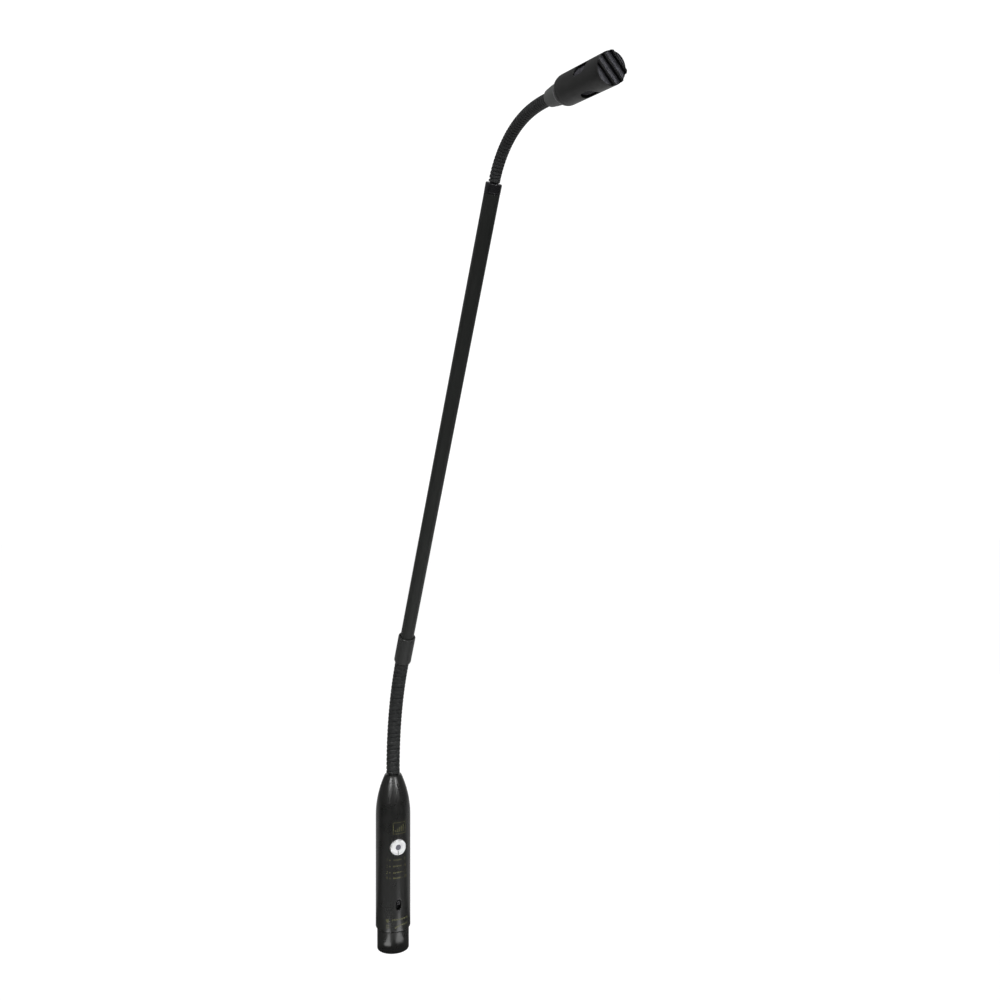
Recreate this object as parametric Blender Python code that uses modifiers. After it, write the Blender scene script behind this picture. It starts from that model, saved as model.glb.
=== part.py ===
"""A gooseneck podium microphone: a plug-in base, a lower gooseneck, a rigid stem, an upper gooseneck
and a slotted microphone head. Metres, +Z up. The origin is the centre of the plug's open end, the
necks bend in the plane x = 0, and the head, the dial and the switch face -Y."""

import math

import bmesh
import bpy
from mathutils import Matrix, Vector

MM = 0.001
CLEARANCE = 0.3 * MM  # between pieces that sit in or on each other

# Base and connector
BASE_HEIGHT = 104.8 * MM
BASE_RADIUS = 10.4 * MM
BASE_WALL = 1.4 * MM
BASE_FOOT = 12.9 * MM  # lower edge of the housing
NOSE_START = 80.0 * MM
NOSE_TOP_RADIUS = 4.9 * MM
NOSE_POWER = 2.05
NOSE_POINTS = 9
PLUG_RADIUS = 9.5 * MM
PLUG_BORE = 8.0 * MM
PLUG_LENGTH = 12.6 * MM
PLUG_SPIGOT_TOP = 20.0 * MM
PIN_RADIUS = 1.19 * MM
PIN_CIRCLE = 3.81 * MM
PIN_ANGLES = (0.0, 180.0, 90.0)  # from +X towards +Y
SCREW_HEIGHT = 16.5 * MM
SCREW_RADIUS = 1.0 * MM

# Controls on the front of the base
DIAL_HEIGHT = 63.3 * MM
DIAL_RADIUS = 4.8 * MM
DIAL_FACE = 9.85 * MM  # how far the dial's face is from the base's axis
DIAL_THICKNESS = 1.5 * MM
SHAFT_RADIUS = 1.6 * MM
SHAFT_TURN = math.radians(-55.0)  # of the screwdriver slot, from upright
SWITCH_HEIGHT = 29.2 * MM
SWITCH_SLOT = (3.0 * MM, 6.0 * MM)
LEVER_SIZE = (2.1 * MM, 3.9 * MM, 2.2 * MM)
LEVER_TRAVEL = 2.6 * MM

# Circuit board inside the base
BOARD_SIZE = (13.0 * MM, 1.2 * MM, 61.0 * MM)
BOARD_CENTRE = (0.0, 1.0 * MM, 55.8 * MM)

# Lower gooseneck: a short straight piece, then an even bend
LOWER_RADIUS = 4.05 * MM
LOWER_LENGTH = 73.2 * MM
LOWER_STRAIGHT = 3.0 * MM
LOWER_LINKS = 9
STEM_TILT = math.radians(27.9)

# Collar, stem and ferrule, measured along the stem from the end of the lower gooseneck
COLLAR_RADIUS = 4.95 * MM
COLLAR_LENGTH = 18.0 * MM
STEM_RADIUS = 3.85 * MM
STEM_WALL = 0.6 * MM
STEM_INSERTION = 8.0 * MM
FERRULE_RADIUS = 3.95 * MM
FERRULE_LENGTH = 4.9 * MM
STEM_END = COLLAR_LENGTH + 257.1 * MM

# Upper gooseneck: bent most where it leaves the ferrule
UPPER_RADIUS = 2.75 * MM
UPPER_LENGTH = 62.7 * MM
UPPER_BEND = math.radians(70.5)
UPPER_BEND_POWER = 1.65
UPPER_LINKS = 11

# Head, measured along its axis from the end of the upper gooseneck
BOOT_END = 11.7 * MM
BOOT_RADII = (3.3 * MM, 4.6 * MM)
HEAD_RADIUS = 6.2 * MM
HEAD_WALL = 0.7 * MM
SHOULDER_START = 12.0 * MM
SHOULDER_RADIUS = 4.75 * MM
SHOULDER_END = 15.3 * MM
RIM = 47.8 * MM
HEAD_END = 48.9 * MM
RIB_WIDTH = 1.0 * MM
RIB_PITCH = 3.55 * MM
RIB_OFFSET = 0.35 * MM
RIB_TURN = math.radians(-43.0)
PORT_CENTRE = 33.0 * MM
PORT_SIZE = (9.6 * MM, 5.4 * MM)
PORT_ANGLES = (33.0, 153.0, 273.0)  # from +X, turning away from the base
LEAD_RADIUS = 0.9 * MM

# Between links, and between the first link and what holds the neck, so that they can turn
NECK_GAP = {"lower": 0.85 * MM, "upper": 0.62 * MM}
FIRST_GAP = {"lower": 0.8 * MM, "upper": 0.36 * MM}

FINISHES = {
    "black_paint": ((0.020, 0.020, 0.022), 0.38, 0.0),
    "black_satin": ((0.028, 0.028, 0.029), 0.48, 0.0),
    "neck_black": ((0.022, 0.023, 0.023), 0.55, 0.2),
    "ferrule_black": ((0.015, 0.015, 0.017), 0.18, 0.6),
    "grey_rubber": ((0.10, 0.10, 0.105), 0.60, 0.0),
    "black_rubber": ((0.012, 0.012, 0.012), 0.80, 0.0),
    "white_plastic": ((0.86, 0.87, 0.88), 0.35, 0.0),
    "dark_plastic": ((0.03, 0.03, 0.03), 0.45, 0.0),
    "silver": ((0.72, 0.72, 0.72), 0.25, 1.0),
    "mesh_grey": ((0.16, 0.16, 0.17), 0.55, 0.6),
    "foam_grey": ((0.05, 0.05, 0.05), 0.95, 0.0),
    "board_green": ((0.01, 0.12, 0.05), 0.50, 0.0),
    "brass": ((0.62, 0.45, 0.17), 0.30, 1.0),
    "lead_black": ((0.02, 0.02, 0.02), 0.60, 0.0),
}


def clear_scene():
    for obj in list(bpy.data.objects):
        bpy.data.objects.remove(obj, do_unlink=True)


def new_collection(name):
    group = bpy.data.collections.new(name)
    bpy.context.scene.collection.children.link(group)
    return group


def new_materials():
    made = {}
    for name, (colour, roughness, metallic) in FINISHES.items():
        material = bpy.data.materials.new(name)
        material.use_nodes = True
        shader = material.node_tree.nodes["Principled BSDF"]
        shader.inputs["Base Color"].default_value = (*colour, 1.0)
        shader.inputs["Roughness"].default_value = roughness
        shader.inputs["Metallic"].default_value = metallic
        made[name] = material
    return made


clear_scene()
PARTS = new_collection("gooseneck_podium_microphone")
CUTTERS = new_collection("cutters")
MATERIALS = new_materials()


# Making objects


def new_frame(name, place):
    empty = bpy.data.objects.new(name, None)
    empty.empty_display_size = 0.01
    empty.matrix_world = place
    PARTS.objects.link(empty)
    return empty


def add_part(name, data, finish, parent=None, place=None):
    obj = bpy.data.objects.new(name, data)
    data.materials.append(MATERIALS[finish])
    PARTS.objects.link(obj)
    obj.parent = parent
    obj.matrix_local = place or Matrix.Identity(4)
    return obj


def turned(name, profile, finish, parent=None, place=None, sides=24):
    """A turned piece. profile is (radius, height) pairs that run down the outer side and back up the
    inner one; a solid's starts and ends on the axis."""
    mesh = bpy.data.meshes.new(name)
    solid = profile[0][0] == 0.0
    edges = [(i, i + 1) for i in range(len(profile) - 1)]
    if not solid:
        edges.append((len(profile) - 1, 0))
    mesh.from_pydata([(radius, 0.0, height) for radius, height in profile], edges, [])
    obj = add_part(name, mesh, finish, parent, place)
    screw = obj.modifiers.new("Turn", "SCREW")
    screw.steps = screw.render_steps = sides
    screw.use_merge_vertices = solid
    screw.merge_threshold = 1e-5
    screw.use_smooth_shade = True
    return obj


def cylinder(name, radius, low, high, finish, parent=None, place=None, sides=20):
    return turned(name, [(0, high), (radius, high), (radius, low), (0, low)], finish, parent, place, sides)


def tube(name, outer, inner, low, high, finish, parent=None, place=None, sides=20):
    profile = [(outer, high), (outer, low), (inner, low), (inner, high)]
    return turned(name, profile, finish, parent, place, sides)


def box_mesh(name, size, bevel=0.0):
    mesh = bpy.data.meshes.new(name)
    shape = bmesh.new()
    bmesh.ops.create_cube(shape, size=1.0, matrix=Matrix.Diagonal((*size, 1.0)))
    if bevel:
        bmesh.ops.bevel(shape, geom=shape.edges[:], offset=bevel, segments=2, affect="EDGES", profile=0.5)
    shape.to_mesh(mesh)
    shape.free()
    return mesh


def box(name, size, centre, finish, bevel=0.0):
    return add_part(name, box_mesh(name, size, bevel), finish, place=Matrix.Translation(centre))


def wire(name, points, radius, finish, parent=None, capped=True, resolution=2):
    """A round wire or tube wall along the points, which are in the parent's frame."""
    curve = bpy.data.curves.new(name, "CURVE")
    curve.dimensions = "3D"
    spline = curve.splines.new("POLY")
    spline.points.add(len(points) - 1)
    for point, target in zip(spline.points, points):
        point.co = (*target, 1.0)
    curve.bevel_depth = radius
    curve.bevel_resolution = resolution
    curve.use_fill_caps = capped
    return add_part(name, curve, finish, parent)


def cut(target, mesh, place, parent=None):
    cutter = bpy.data.objects.new(f"cutter_{target.name}_{len(target.modifiers)}", mesh)
    CUTTERS.objects.link(cutter)
    cutter.parent = parent
    cutter.matrix_local = place
    cutter.hide_render = True
    cutter.display_type = "WIRE"
    boolean = target.modifiers.new("Cut", "BOOLEAN")
    boolean.operation = "DIFFERENCE"
    boolean.object = cutter


def drill_mesh(radius, length, sides=24):
    mesh = bpy.data.meshes.new("drill")
    shape = bmesh.new()
    bmesh.ops.create_cone(shape, cap_ends=True, segments=sides, radius1=radius, radius2=radius, depth=length)
    shape.to_mesh(mesh)
    shape.free()
    return mesh


def oblong_mesh(length, width, depth):
    """A prism with round ends, long along Z, wide along X and deep along Y."""
    mesh = bpy.data.meshes.new("oblong")
    shape = bmesh.new()
    steps = 8
    for end in (1, -1):
        for step in range(steps + 1):
            angle = math.pi * step / steps
            x = math.cos(angle) * width / 2
            z = end * (math.sin(angle) * width / 2 + (length - width) / 2)
            for y in (-depth / 2, depth / 2):
                shape.verts.new((x, y, z))
    bmesh.ops.convex_hull(shape, input=shape.verts[:])
    bmesh.ops.recalc_face_normals(shape, faces=shape.faces[:])
    shape.to_mesh(mesh)
    shape.free()
    return mesh


# The centre line


def lower_tilt(distance):
    bent = max(0.0, distance - LOWER_STRAIGHT) / (LOWER_LENGTH - LOWER_STRAIGHT)
    return STEM_TILT * bent


def upper_tilt(distance):
    left = max(0.0, 1.0 - distance / UPPER_LENGTH)
    return STEM_TILT + UPPER_BEND * (1.0 - left**UPPER_BEND_POWER)


def station(start, tilt_at, distance, steps=96):
    """The frame at a distance along a neck: Z runs along it, X is the axis that it bends about."""
    point = start.copy()
    step = distance / steps
    for index in range(steps):
        tilt = tilt_at((index + 0.5) * step)
        point += Vector((0.0, -math.sin(tilt), math.cos(tilt))) * step
    return Matrix.Translation(point) @ Matrix.Rotation(tilt_at(distance), 4, "X")


LOWER_START = Vector((0.0, 0.0, BASE_HEIGHT))
STEM_PLACE = station(LOWER_START, lower_tilt, LOWER_LENGTH)
UPPER_START = STEM_PLACE @ Vector((0.0, 0.0, STEM_END))
HEAD_PLACE = station(UPPER_START, upper_tilt, UPPER_LENGTH)


# Base


def nose_radius(height):
    risen = max(0.0, (height - NOSE_START) / (BASE_HEIGHT - NOSE_START))
    return BASE_RADIUS - (BASE_RADIUS - NOSE_TOP_RADIUS) * risen**NOSE_POWER


def make_housing():
    foot_round = 1.2 * MM
    bore = BASE_RADIUS - BASE_WALL
    gland_bore = 3.3 * MM
    heights = [BASE_HEIGHT - (BASE_HEIGHT - NOSE_START) * i / NOSE_POINTS for i in range(NOSE_POINTS + 1)]
    profile = [(nose_radius(height), height) for height in heights]
    profile += [(BASE_RADIUS, BASE_FOOT + foot_round)]
    profile += [(BASE_RADIUS - foot_round * 0.3, BASE_FOOT + foot_round * 0.3)]
    profile += [(BASE_RADIUS - foot_round * 0.7, BASE_FOOT), (bore, BASE_FOOT), (bore, NOSE_START)]
    profile += [(6.4 * MM, 95.0 * MM), (6.1 * MM, 98.0 * MM)]
    profile += [(gland_bore, 98.0 * MM), (gland_bore, BASE_HEIGHT)]
    housing = turned("base_housing", profile, "black_paint", sides=40)
    facing = Matrix.Rotation(math.pi / 2, 4, "X")
    front = Matrix.Translation((0, -BASE_RADIUS, DIAL_HEIGHT)) @ facing
    cut(housing, drill_mesh(DIAL_RADIUS + CLEARANCE, 6 * MM, 32), front)
    slot = Matrix.Translation((0, -BASE_RADIUS, SWITCH_HEIGHT))
    cut(housing, oblong_mesh(SWITCH_SLOT[1], SWITCH_SLOT[0], 6 * MM), slot)
    back = Matrix.Translation((0, BASE_RADIUS, SCREW_HEIGHT)) @ facing
    cut(housing, drill_mesh(SCREW_RADIUS + CLEARANCE, 4 * MM, 16), back)


def make_connector():
    spigot = BASE_RADIUS - BASE_WALL - CLEARANCE
    edge = 0.4 * MM
    profile = [(spigot, PLUG_SPIGOT_TOP), (spigot, PLUG_LENGTH), (PLUG_RADIUS, PLUG_LENGTH)]
    profile += [(PLUG_RADIUS, edge), (PLUG_RADIUS - edge, 0.0)]
    profile += [(PLUG_BORE, 0.0), (PLUG_BORE, PLUG_SPIGOT_TOP)]
    shell = turned("connector_shell", profile, "black_paint", sides=40)
    facing = Matrix.Rotation(math.pi / 2, 4, "X")
    back = Matrix.Translation((0, spigot, SCREW_HEIGHT)) @ facing
    cut(shell, drill_mesh(SCREW_RADIUS + CLEARANCE, 4 * MM, 16), back)
    screw_place = Matrix.Translation((0, 0, SCREW_HEIGHT)) @ Matrix.Rotation(-math.pi / 2, 4, "X")
    cylinder("connector_screw", SCREW_RADIUS, 8.1 * MM, 9.8 * MM, "silver", place=screw_place, sides=12)
    insert_face = PLUG_LENGTH - 0.1 * MM
    insert_radius = PLUG_BORE - CLEARANCE
    insert_ends = (insert_face, PLUG_SPIGOT_TOP)
    insert = cylinder("connector_insert", insert_radius, *insert_ends, "dark_plastic", sides=32)
    middle = (insert_face + PLUG_SPIGOT_TOP) / 2
    for number, degrees in enumerate(PIN_ANGLES, start=1):
        angle = math.radians(degrees)
        across = Vector((math.cos(angle), -math.sin(angle), 0.0)) * PIN_CIRCLE
        pin_top = 22.5 * MM
        tip = 1.5 * MM
        profile = [(0, pin_top), (PIN_RADIUS, pin_top), (PIN_RADIUS, tip + 0.7 * MM)]
        profile += [(PIN_RADIUS * 0.5, tip), (0, tip)]
        turned(f"connector_pin_{number}", profile, "silver", place=Matrix.Translation(across), sides=14)
        hole = Matrix.Translation(across + Vector((0, 0, middle)))
        cut(insert, drill_mesh(PIN_RADIUS + CLEARANCE, 12 * MM, 14), hole)
        foot = across + Vector((0, 0, pin_top + CLEARANCE))
        end = Vector((across.x, BOARD_CENTRE[1], BOARD_CENTRE[2] - BOARD_SIZE[2] / 2 - CLEARANCE))
        bend = foot.lerp(end, 0.5)
        wire(f"connector_lead_{number}", [foot, bend, end], 0.5 * MM, "lead_black")


def make_board():
    box("preamp_board", BOARD_SIZE, BOARD_CENTRE, "board_green")
    front = BOARD_CENTRE[1] - BOARD_SIZE[1] / 2 - CLEARANCE
    facing = Matrix.Rotation(math.pi / 2, 4, "X")
    on_dial = Matrix.Translation((0, 0, DIAL_HEIGHT)) @ facing
    cylinder("level_switch", 4.6 * MM, -front, 5.4 * MM, "dark_plastic", place=on_dial, sides=8)
    switch_size = (4.4 * MM, 6.4 * MM, 7.4 * MM)
    switch_centre = (0, front - switch_size[1] / 2, SWITCH_HEIGHT)
    box("low_cut_switch", switch_size, switch_centre, "dark_plastic", 0.3 * MM)
    chip_size = (5.0 * MM, 1.6 * MM, 6.4 * MM)
    box("amplifier_chip", chip_size, (0, front - chip_size[1] / 2, 46.0 * MM), "dark_plastic")
    on_front = Matrix.Translation((0, 0, 76.5 * MM)) @ facing
    cylinder("coupling_capacitor", 2.6 * MM, -front, 6.9 * MM, "silver", place=on_front, sides=14)
    high = BASE_HEIGHT - CLEARANCE
    gland = [(3.0 * MM, high), (3.0 * MM, 97.7 * MM), (5.6 * MM, 97.7 * MM), (5.6 * MM, 95.2 * MM)]
    gland += [(1.4 * MM, 95.2 * MM), (1.4 * MM, high)]
    turned("neck_gland", gland, "silver")
    board_top = BOARD_CENTRE[2] + BOARD_SIZE[2] / 2 + CLEARANCE
    route = [(0, 0, high), (0, 0, 96.0 * MM), (0, 0.4 * MM, 91.0 * MM)]
    route.append((0, BOARD_CENTRE[1], board_top))
    wire("base_lead", route, LEAD_RADIUS, "lead_black")


def make_controls():
    facing = Matrix.Rotation(math.pi / 2, 4, "X")
    dial_frame = new_frame("level_dial_axis", Matrix.Translation((0, 0, DIAL_HEIGHT)) @ facing)
    round_edge = 0.35 * MM
    bore = SHAFT_RADIUS + CLEARANCE
    back = DIAL_FACE - DIAL_THICKNESS
    profile = [(DIAL_RADIUS - round_edge, DIAL_FACE), (DIAL_RADIUS, DIAL_FACE - round_edge)]
    profile += [(DIAL_RADIUS, back), (bore, back), (bore, DIAL_FACE)]
    turned("level_dial", profile, "white_plastic", dial_frame, sides=32)
    shaft_ends = (5.7 * MM, DIAL_FACE - 0.15 * MM)
    shaft = cylinder("level_shaft", SHAFT_RADIUS, *shaft_ends, "dark_plastic", dial_frame)
    driver_slot = box_mesh("driver_slot", (0.6 * MM, 4.0 * MM, 1.0 * MM))
    slot_place = Matrix.Translation((0, 0, DIAL_FACE)) @ Matrix.Rotation(SHAFT_TURN, 4, "Z")
    cut(shaft, driver_slot, slot_place, dial_frame)
    lever_height = SWITCH_HEIGHT + LEVER_TRAVEL / 2
    lever_centre = (0, -BASE_RADIUS - 0.2 * MM + LEVER_SIZE[1] / 2, lever_height)
    box("low_cut_lever", LEVER_SIZE, lever_centre, "dark_plastic", 0.2 * MM)


# Goosenecks


def make_neck(kind, start, tilt_at, length, links, radius, points_per_link):
    """The neck as short curved tubes, each turning about the middle of the gap before it."""
    wall = radius * 0.42
    gap = NECK_GAP[kind]
    pitch = length / links
    for index in range(links):
        pivot = station(start, tilt_at, index * pitch)
        to_link = pivot.inverted()
        low = index * pitch + (gap / 2 if index else FIRST_GAP[kind])
        high = (index + 1) * pitch - gap / 2
        distances = [low + (high - low) * i / (points_per_link - 1) for i in range(points_per_link)]
        points = [to_link @ station(start, tilt_at, distance).translation for distance in distances]
        link = wire(f"{kind}_neck_link_{index + 1}", points, radius, "neck_black", capped=False, resolution=6)
        link.matrix_local = pivot
        shell = link.modifiers.new("Wall", "SOLIDIFY")
        shell.thickness = wall
        shell.offset = -1.0
    inside = [station(start, tilt_at, length * i / 14).translation for i in range(15)]
    inside[0] = inside[0].lerp(inside[1], 0.05)
    inside[-1] = inside[-1].lerp(inside[-2], 0.05)
    wire(f"{kind}_neck_lead", inside, LEAD_RADIUS, "lead_black")


# Collar, stem and ferrule


def make_stem():
    frame = new_frame("stem_frame", STEM_PLACE)
    low = NECK_GAP["lower"] / 2
    foot_round = 1.1 * MM
    seat = STEM_RADIUS + CLEARANCE
    seat_low = COLLAR_LENGTH - STEM_INSERTION
    profile = [(COLLAR_RADIUS - 0.4 * MM, COLLAR_LENGTH), (COLLAR_RADIUS, COLLAR_LENGTH - 0.4 * MM)]
    profile += [(COLLAR_RADIUS, low + foot_round), (COLLAR_RADIUS - foot_round * 0.3, low + foot_round * 0.3)]
    profile += [(COLLAR_RADIUS - foot_round * 0.6, low), (1.4 * MM, low)]
    profile += [(1.4 * MM, seat_low - CLEARANCE), (seat, seat_low - CLEARANCE), (seat, COLLAR_LENGTH)]
    turned("centre_collar", profile, "black_satin", frame, sides=32)
    ferrule_low = STEM_END - FERRULE_LENGTH
    bore = STEM_RADIUS - STEM_WALL
    tube("stem_tube", STEM_RADIUS, bore, seat_low, ferrule_low - CLEARANCE, "black_paint", frame, sides=32)
    ferrule_high = STEM_END - NECK_GAP["upper"] / 2
    spigot = bore - CLEARANCE
    spigot_low = ferrule_low - 9.0 * MM
    profile = [(FERRULE_RADIUS - 0.5 * MM, ferrule_high), (FERRULE_RADIUS, ferrule_high - 0.5 * MM)]
    profile += [(FERRULE_RADIUS, ferrule_low), (spigot, ferrule_low), (spigot, spigot_low)]
    profile += [(1.3 * MM, spigot_low), (1.3 * MM, ferrule_high)]
    turned("stem_ferrule", profile, "ferrule_black", frame, sides=32)
    route = [(0, 0, low), (0, 0, STEM_END / 2), (0, 0, ferrule_high)]
    wire("stem_lead", route, LEAD_RADIUS, "lead_black", frame)


# Head


def make_head_shell(frame):
    low = NECK_GAP["upper"] / 2
    stud_bore = 2.2 * MM
    boot = [(BOOT_RADII[1], BOOT_END), (4.35 * MM, 7.0 * MM), (4.0 * MM, 3.4 * MM), (3.75 * MM, 1.3 * MM)]
    boot += [(BOOT_RADII[0], low), (1.3 * MM, low), (1.3 * MM, 1.7 * MM)]
    boot += [(stud_bore, 1.7 * MM), (stud_bore, BOOT_END)]
    turned("head_boot", boot, "grey_rubber", frame, sides=28)
    tube("neck_stud", 1.9 * MM, 1.2 * MM, 2.0 * MM, 20.0 * MM, "brass", frame, sides=14)
    bore = HEAD_RADIUS - HEAD_WALL
    spigot = bore - CLEARANCE
    shoulder = [(spigot, 18.0 * MM), (spigot, SHOULDER_END)]
    steps = 5
    for step in range(steps + 1):
        angle = math.pi / 2 * step / steps
        radius = SHOULDER_RADIUS + (HEAD_RADIUS - SHOULDER_RADIUS) * math.cos(angle)
        shoulder.append((radius, SHOULDER_END - (SHOULDER_END - SHOULDER_START) * math.sin(angle)))
    shoulder += [(stud_bore, SHOULDER_START), (stud_bore, 18.0 * MM)]
    turned("head_rear_cap", shoulder, "black_satin", frame, sides=32)
    bore_end = RIM + 0.1 * MM
    edge = 0.3 * MM
    start = SHOULDER_END + CLEARANCE
    profile = [(0, HEAD_END), (HEAD_RADIUS - edge, HEAD_END), (HEAD_RADIUS, HEAD_END - edge)]
    profile += [(HEAD_RADIUS, start), (bore, start), (bore, bore_end), (0, bore_end)]
    sleeve = turned("head_sleeve", profile, "black_satin", frame, sides=36)
    for degrees in PORT_ANGLES:
        around = Matrix.Rotation(math.radians(degrees), 4, "Z")
        on_surface = Matrix.Translation((HEAD_RADIUS, 0, PORT_CENTRE))
        place = around @ on_surface @ Matrix.Rotation(math.pi / 2, 4, "Z")
        cut(sleeve, oblong_mesh(*PORT_SIZE, 4 * MM), place, frame)
    between = RIB_PITCH - RIB_WIDTH
    outer_cut = 6.0 * MM
    cuts = [(side * RIB_PITCH / 2, between) for side in (-1, 1)]
    cuts += [(side * (RIB_PITCH + RIB_WIDTH / 2 + outer_cut / 2), outer_cut) for side in (-1, 1)]
    for offset, width in cuts:
        along = Matrix.Translation((0, RIB_OFFSET + offset, RIM + 5 * MM))
        place = Matrix.Rotation(RIB_TURN, 4, "Z") @ along
        cut(sleeve, box_mesh("rib_gap", (20 * MM, width, 10 * MM)), place, frame)


def make_head_inside(frame):
    fit = HEAD_RADIUS - HEAD_WALL - CLEARANCE
    cylinder("front_mesh", fit, RIM - 0.5 * MM, RIM - 0.1 * MM, "mesh_grey", frame, sides=32)
    cylinder("wind_foam", fit, RIM - 2.0 * MM, RIM - 0.8 * MM, "foam_grey", frame, sides=20)
    case_low, case_high = 37.9 * MM, 44.8 * MM
    case_radius, case_bore, front_opening = 4.4 * MM, 4.1 * MM, 2.6 * MM
    profile = [(case_radius, case_high), (case_radius, case_low), (case_bore, case_low)]
    front_low = case_high - 0.4 * MM
    profile += [(case_bore, front_low), (front_opening, front_low), (front_opening, case_high)]
    turned("capsule_case", profile, "brass", frame)
    cylinder("diaphragm", 3.8 * MM, 43.8 * MM, 44.0 * MM, "silver", frame)
    cylinder("backplate", 3.8 * MM, 42.6 * MM, 43.5 * MM, "brass", frame)
    cylinder("capsule_circuit", 3.8 * MM, 38.3 * MM, 39.2 * MM, "board_green", frame)
    for number, height in enumerate((38.6 * MM, 42.8 * MM), start=1):
        ring_low, ring_high = height, height + 1.4 * MM
        tube(f"shock_ring_{number}", fit, case_radius + CLEARANCE, ring_low, ring_high, "black_rubber", frame)
    half = PORT_SIZE[0] / 2 + 0.5 * MM
    gauze_ends = (PORT_CENTRE - half, PORT_CENTRE + half)
    tube("port_gauze", fit, fit - 0.3 * MM, *gauze_ends, "mesh_grey", frame, sides=32)
    route = [(0, 0, NECK_GAP["upper"] / 2), (0, 0, 20 * MM), (0, 0, 38.3 * MM - CLEARANCE)]
    wire("head_lead", route, LEAD_RADIUS, "lead_black", frame)


def main():
    make_housing()
    make_connector()
    make_board()
    make_controls()
    make_neck("lower", LOWER_START, lower_tilt, LOWER_LENGTH, LOWER_LINKS, LOWER_RADIUS, 3)
    make_stem()
    make_neck("upper", UPPER_START, upper_tilt, UPPER_LENGTH, UPPER_LINKS, UPPER_RADIUS, 4)
    head_frame = new_frame("head_frame", HEAD_PLACE)
    make_head_shell(head_frame)
    make_head_inside(head_frame)


main()
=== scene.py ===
"""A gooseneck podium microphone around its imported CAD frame: a plug-in base with a dial and a slide
switch, two goosenecks of wound wire, a collar, a painted stem, a ferrule, a rubber boot and a head
with ports and ribs. Metres, +Z up. The head, the dial and the switch face -Y, as in the CAD."""

import math

import bmesh
import bpy
from mathutils import Matrix, Vector


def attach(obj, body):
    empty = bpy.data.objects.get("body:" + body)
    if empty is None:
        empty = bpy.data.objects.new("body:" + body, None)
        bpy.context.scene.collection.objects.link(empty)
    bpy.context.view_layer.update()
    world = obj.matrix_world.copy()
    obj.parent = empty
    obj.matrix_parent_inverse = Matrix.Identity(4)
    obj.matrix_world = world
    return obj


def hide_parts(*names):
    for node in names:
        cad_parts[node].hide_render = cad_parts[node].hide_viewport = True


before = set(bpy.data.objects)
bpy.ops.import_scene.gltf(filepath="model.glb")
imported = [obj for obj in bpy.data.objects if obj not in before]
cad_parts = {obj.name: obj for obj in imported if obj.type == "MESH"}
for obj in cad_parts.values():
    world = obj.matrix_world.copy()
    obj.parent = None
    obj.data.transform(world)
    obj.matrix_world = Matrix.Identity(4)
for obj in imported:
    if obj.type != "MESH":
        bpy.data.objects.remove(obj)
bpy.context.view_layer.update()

MM = 0.001

# The CAD's dimensions

BASE_HEIGHT = 104.8 * MM
BASE_RADIUS = 10.4 * MM
BASE_BORE = 9.0 * MM
BASE_FOOT = 12.9 * MM
NOSE_START = 80.0 * MM
NOSE_TOP_RADIUS = 4.9 * MM
NOSE_POWER = 2.05
PLUG_RADIUS = 9.5 * MM
PLUG_BORE = 8.0 * MM
PLUG_LENGTH = 12.6 * MM
PLUG_SPIGOT_TOP = 20.0 * MM
PIN_RADIUS = 1.19 * MM
PIN_CIRCLE = 3.81 * MM
PIN_ANGLES = (0.0, 180.0, 90.0)
SCREW_HEIGHT = 16.5 * MM
SCREW_RADIUS = 1.0 * MM
DIAL_HEIGHT = 63.3 * MM
DIAL_RADIUS = 4.8 * MM
DIAL_FACE = 9.85 * MM
DIAL_THICKNESS = 1.5 * MM
SHAFT_RADIUS = 1.6 * MM
SHAFT_TURN = math.radians(-55.0)
SWITCH_HEIGHT = 29.2 * MM
SWITCH_SLOT = (3.0 * MM, 6.0 * MM)
LEVER_SIZE = (2.1 * MM, 3.9 * MM, 2.2 * MM)
LEVER_TRAVEL = 2.6 * MM
CLEARANCE = 0.3 * MM

STEM_TILT = math.radians(27.9)
COLLAR_RADIUS = 4.95 * MM
COLLAR_LENGTH = 18.0 * MM
STEM_RADIUS = 3.85 * MM
STEM_WALL = 0.6 * MM
STEM_INSERTION = 8.0 * MM
FERRULE_RADIUS = 3.95 * MM
FERRULE_LENGTH = 4.9 * MM
STEM_END = COLLAR_LENGTH + 257.1 * MM

BOOT_END = 11.7 * MM
HEAD_RADIUS = 6.2 * MM
HEAD_WALL = 0.7 * MM
STUD_BORE = 2.2 * MM
SHOULDER_START = 12.0 * MM
SHOULDER_RADIUS = 4.75 * MM
SHOULDER_END = 15.3 * MM
RIM = 47.8 * MM
HEAD_END = 48.9 * MM
RIB_WIDTH = 1.0 * MM
RIB_PITCH = 3.55 * MM
RIB_OFFSET = 0.35 * MM
RIB_TURN = math.radians(-43.0)
MESH_RADIUS = 5.85 * MM
PORT_CENTRE = 33.0 * MM
PORT_SIZE = (9.6 * MM, 5.4 * MM)
PORT_ANGLES = (33.0, 153.0, 273.0)

INK_HALF = 0.03 * MM
PRINTED_STEPS = ((56.2, "0"), (52.5, "-6"), (48.8, "-12"), (45.5, "-18"))  # heights in mm, and levels

FACING = Matrix.Rotation(math.pi / 2, 4, "X")  # turns a piece made along Z to point along -Y


# The necks' centre lines


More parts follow.
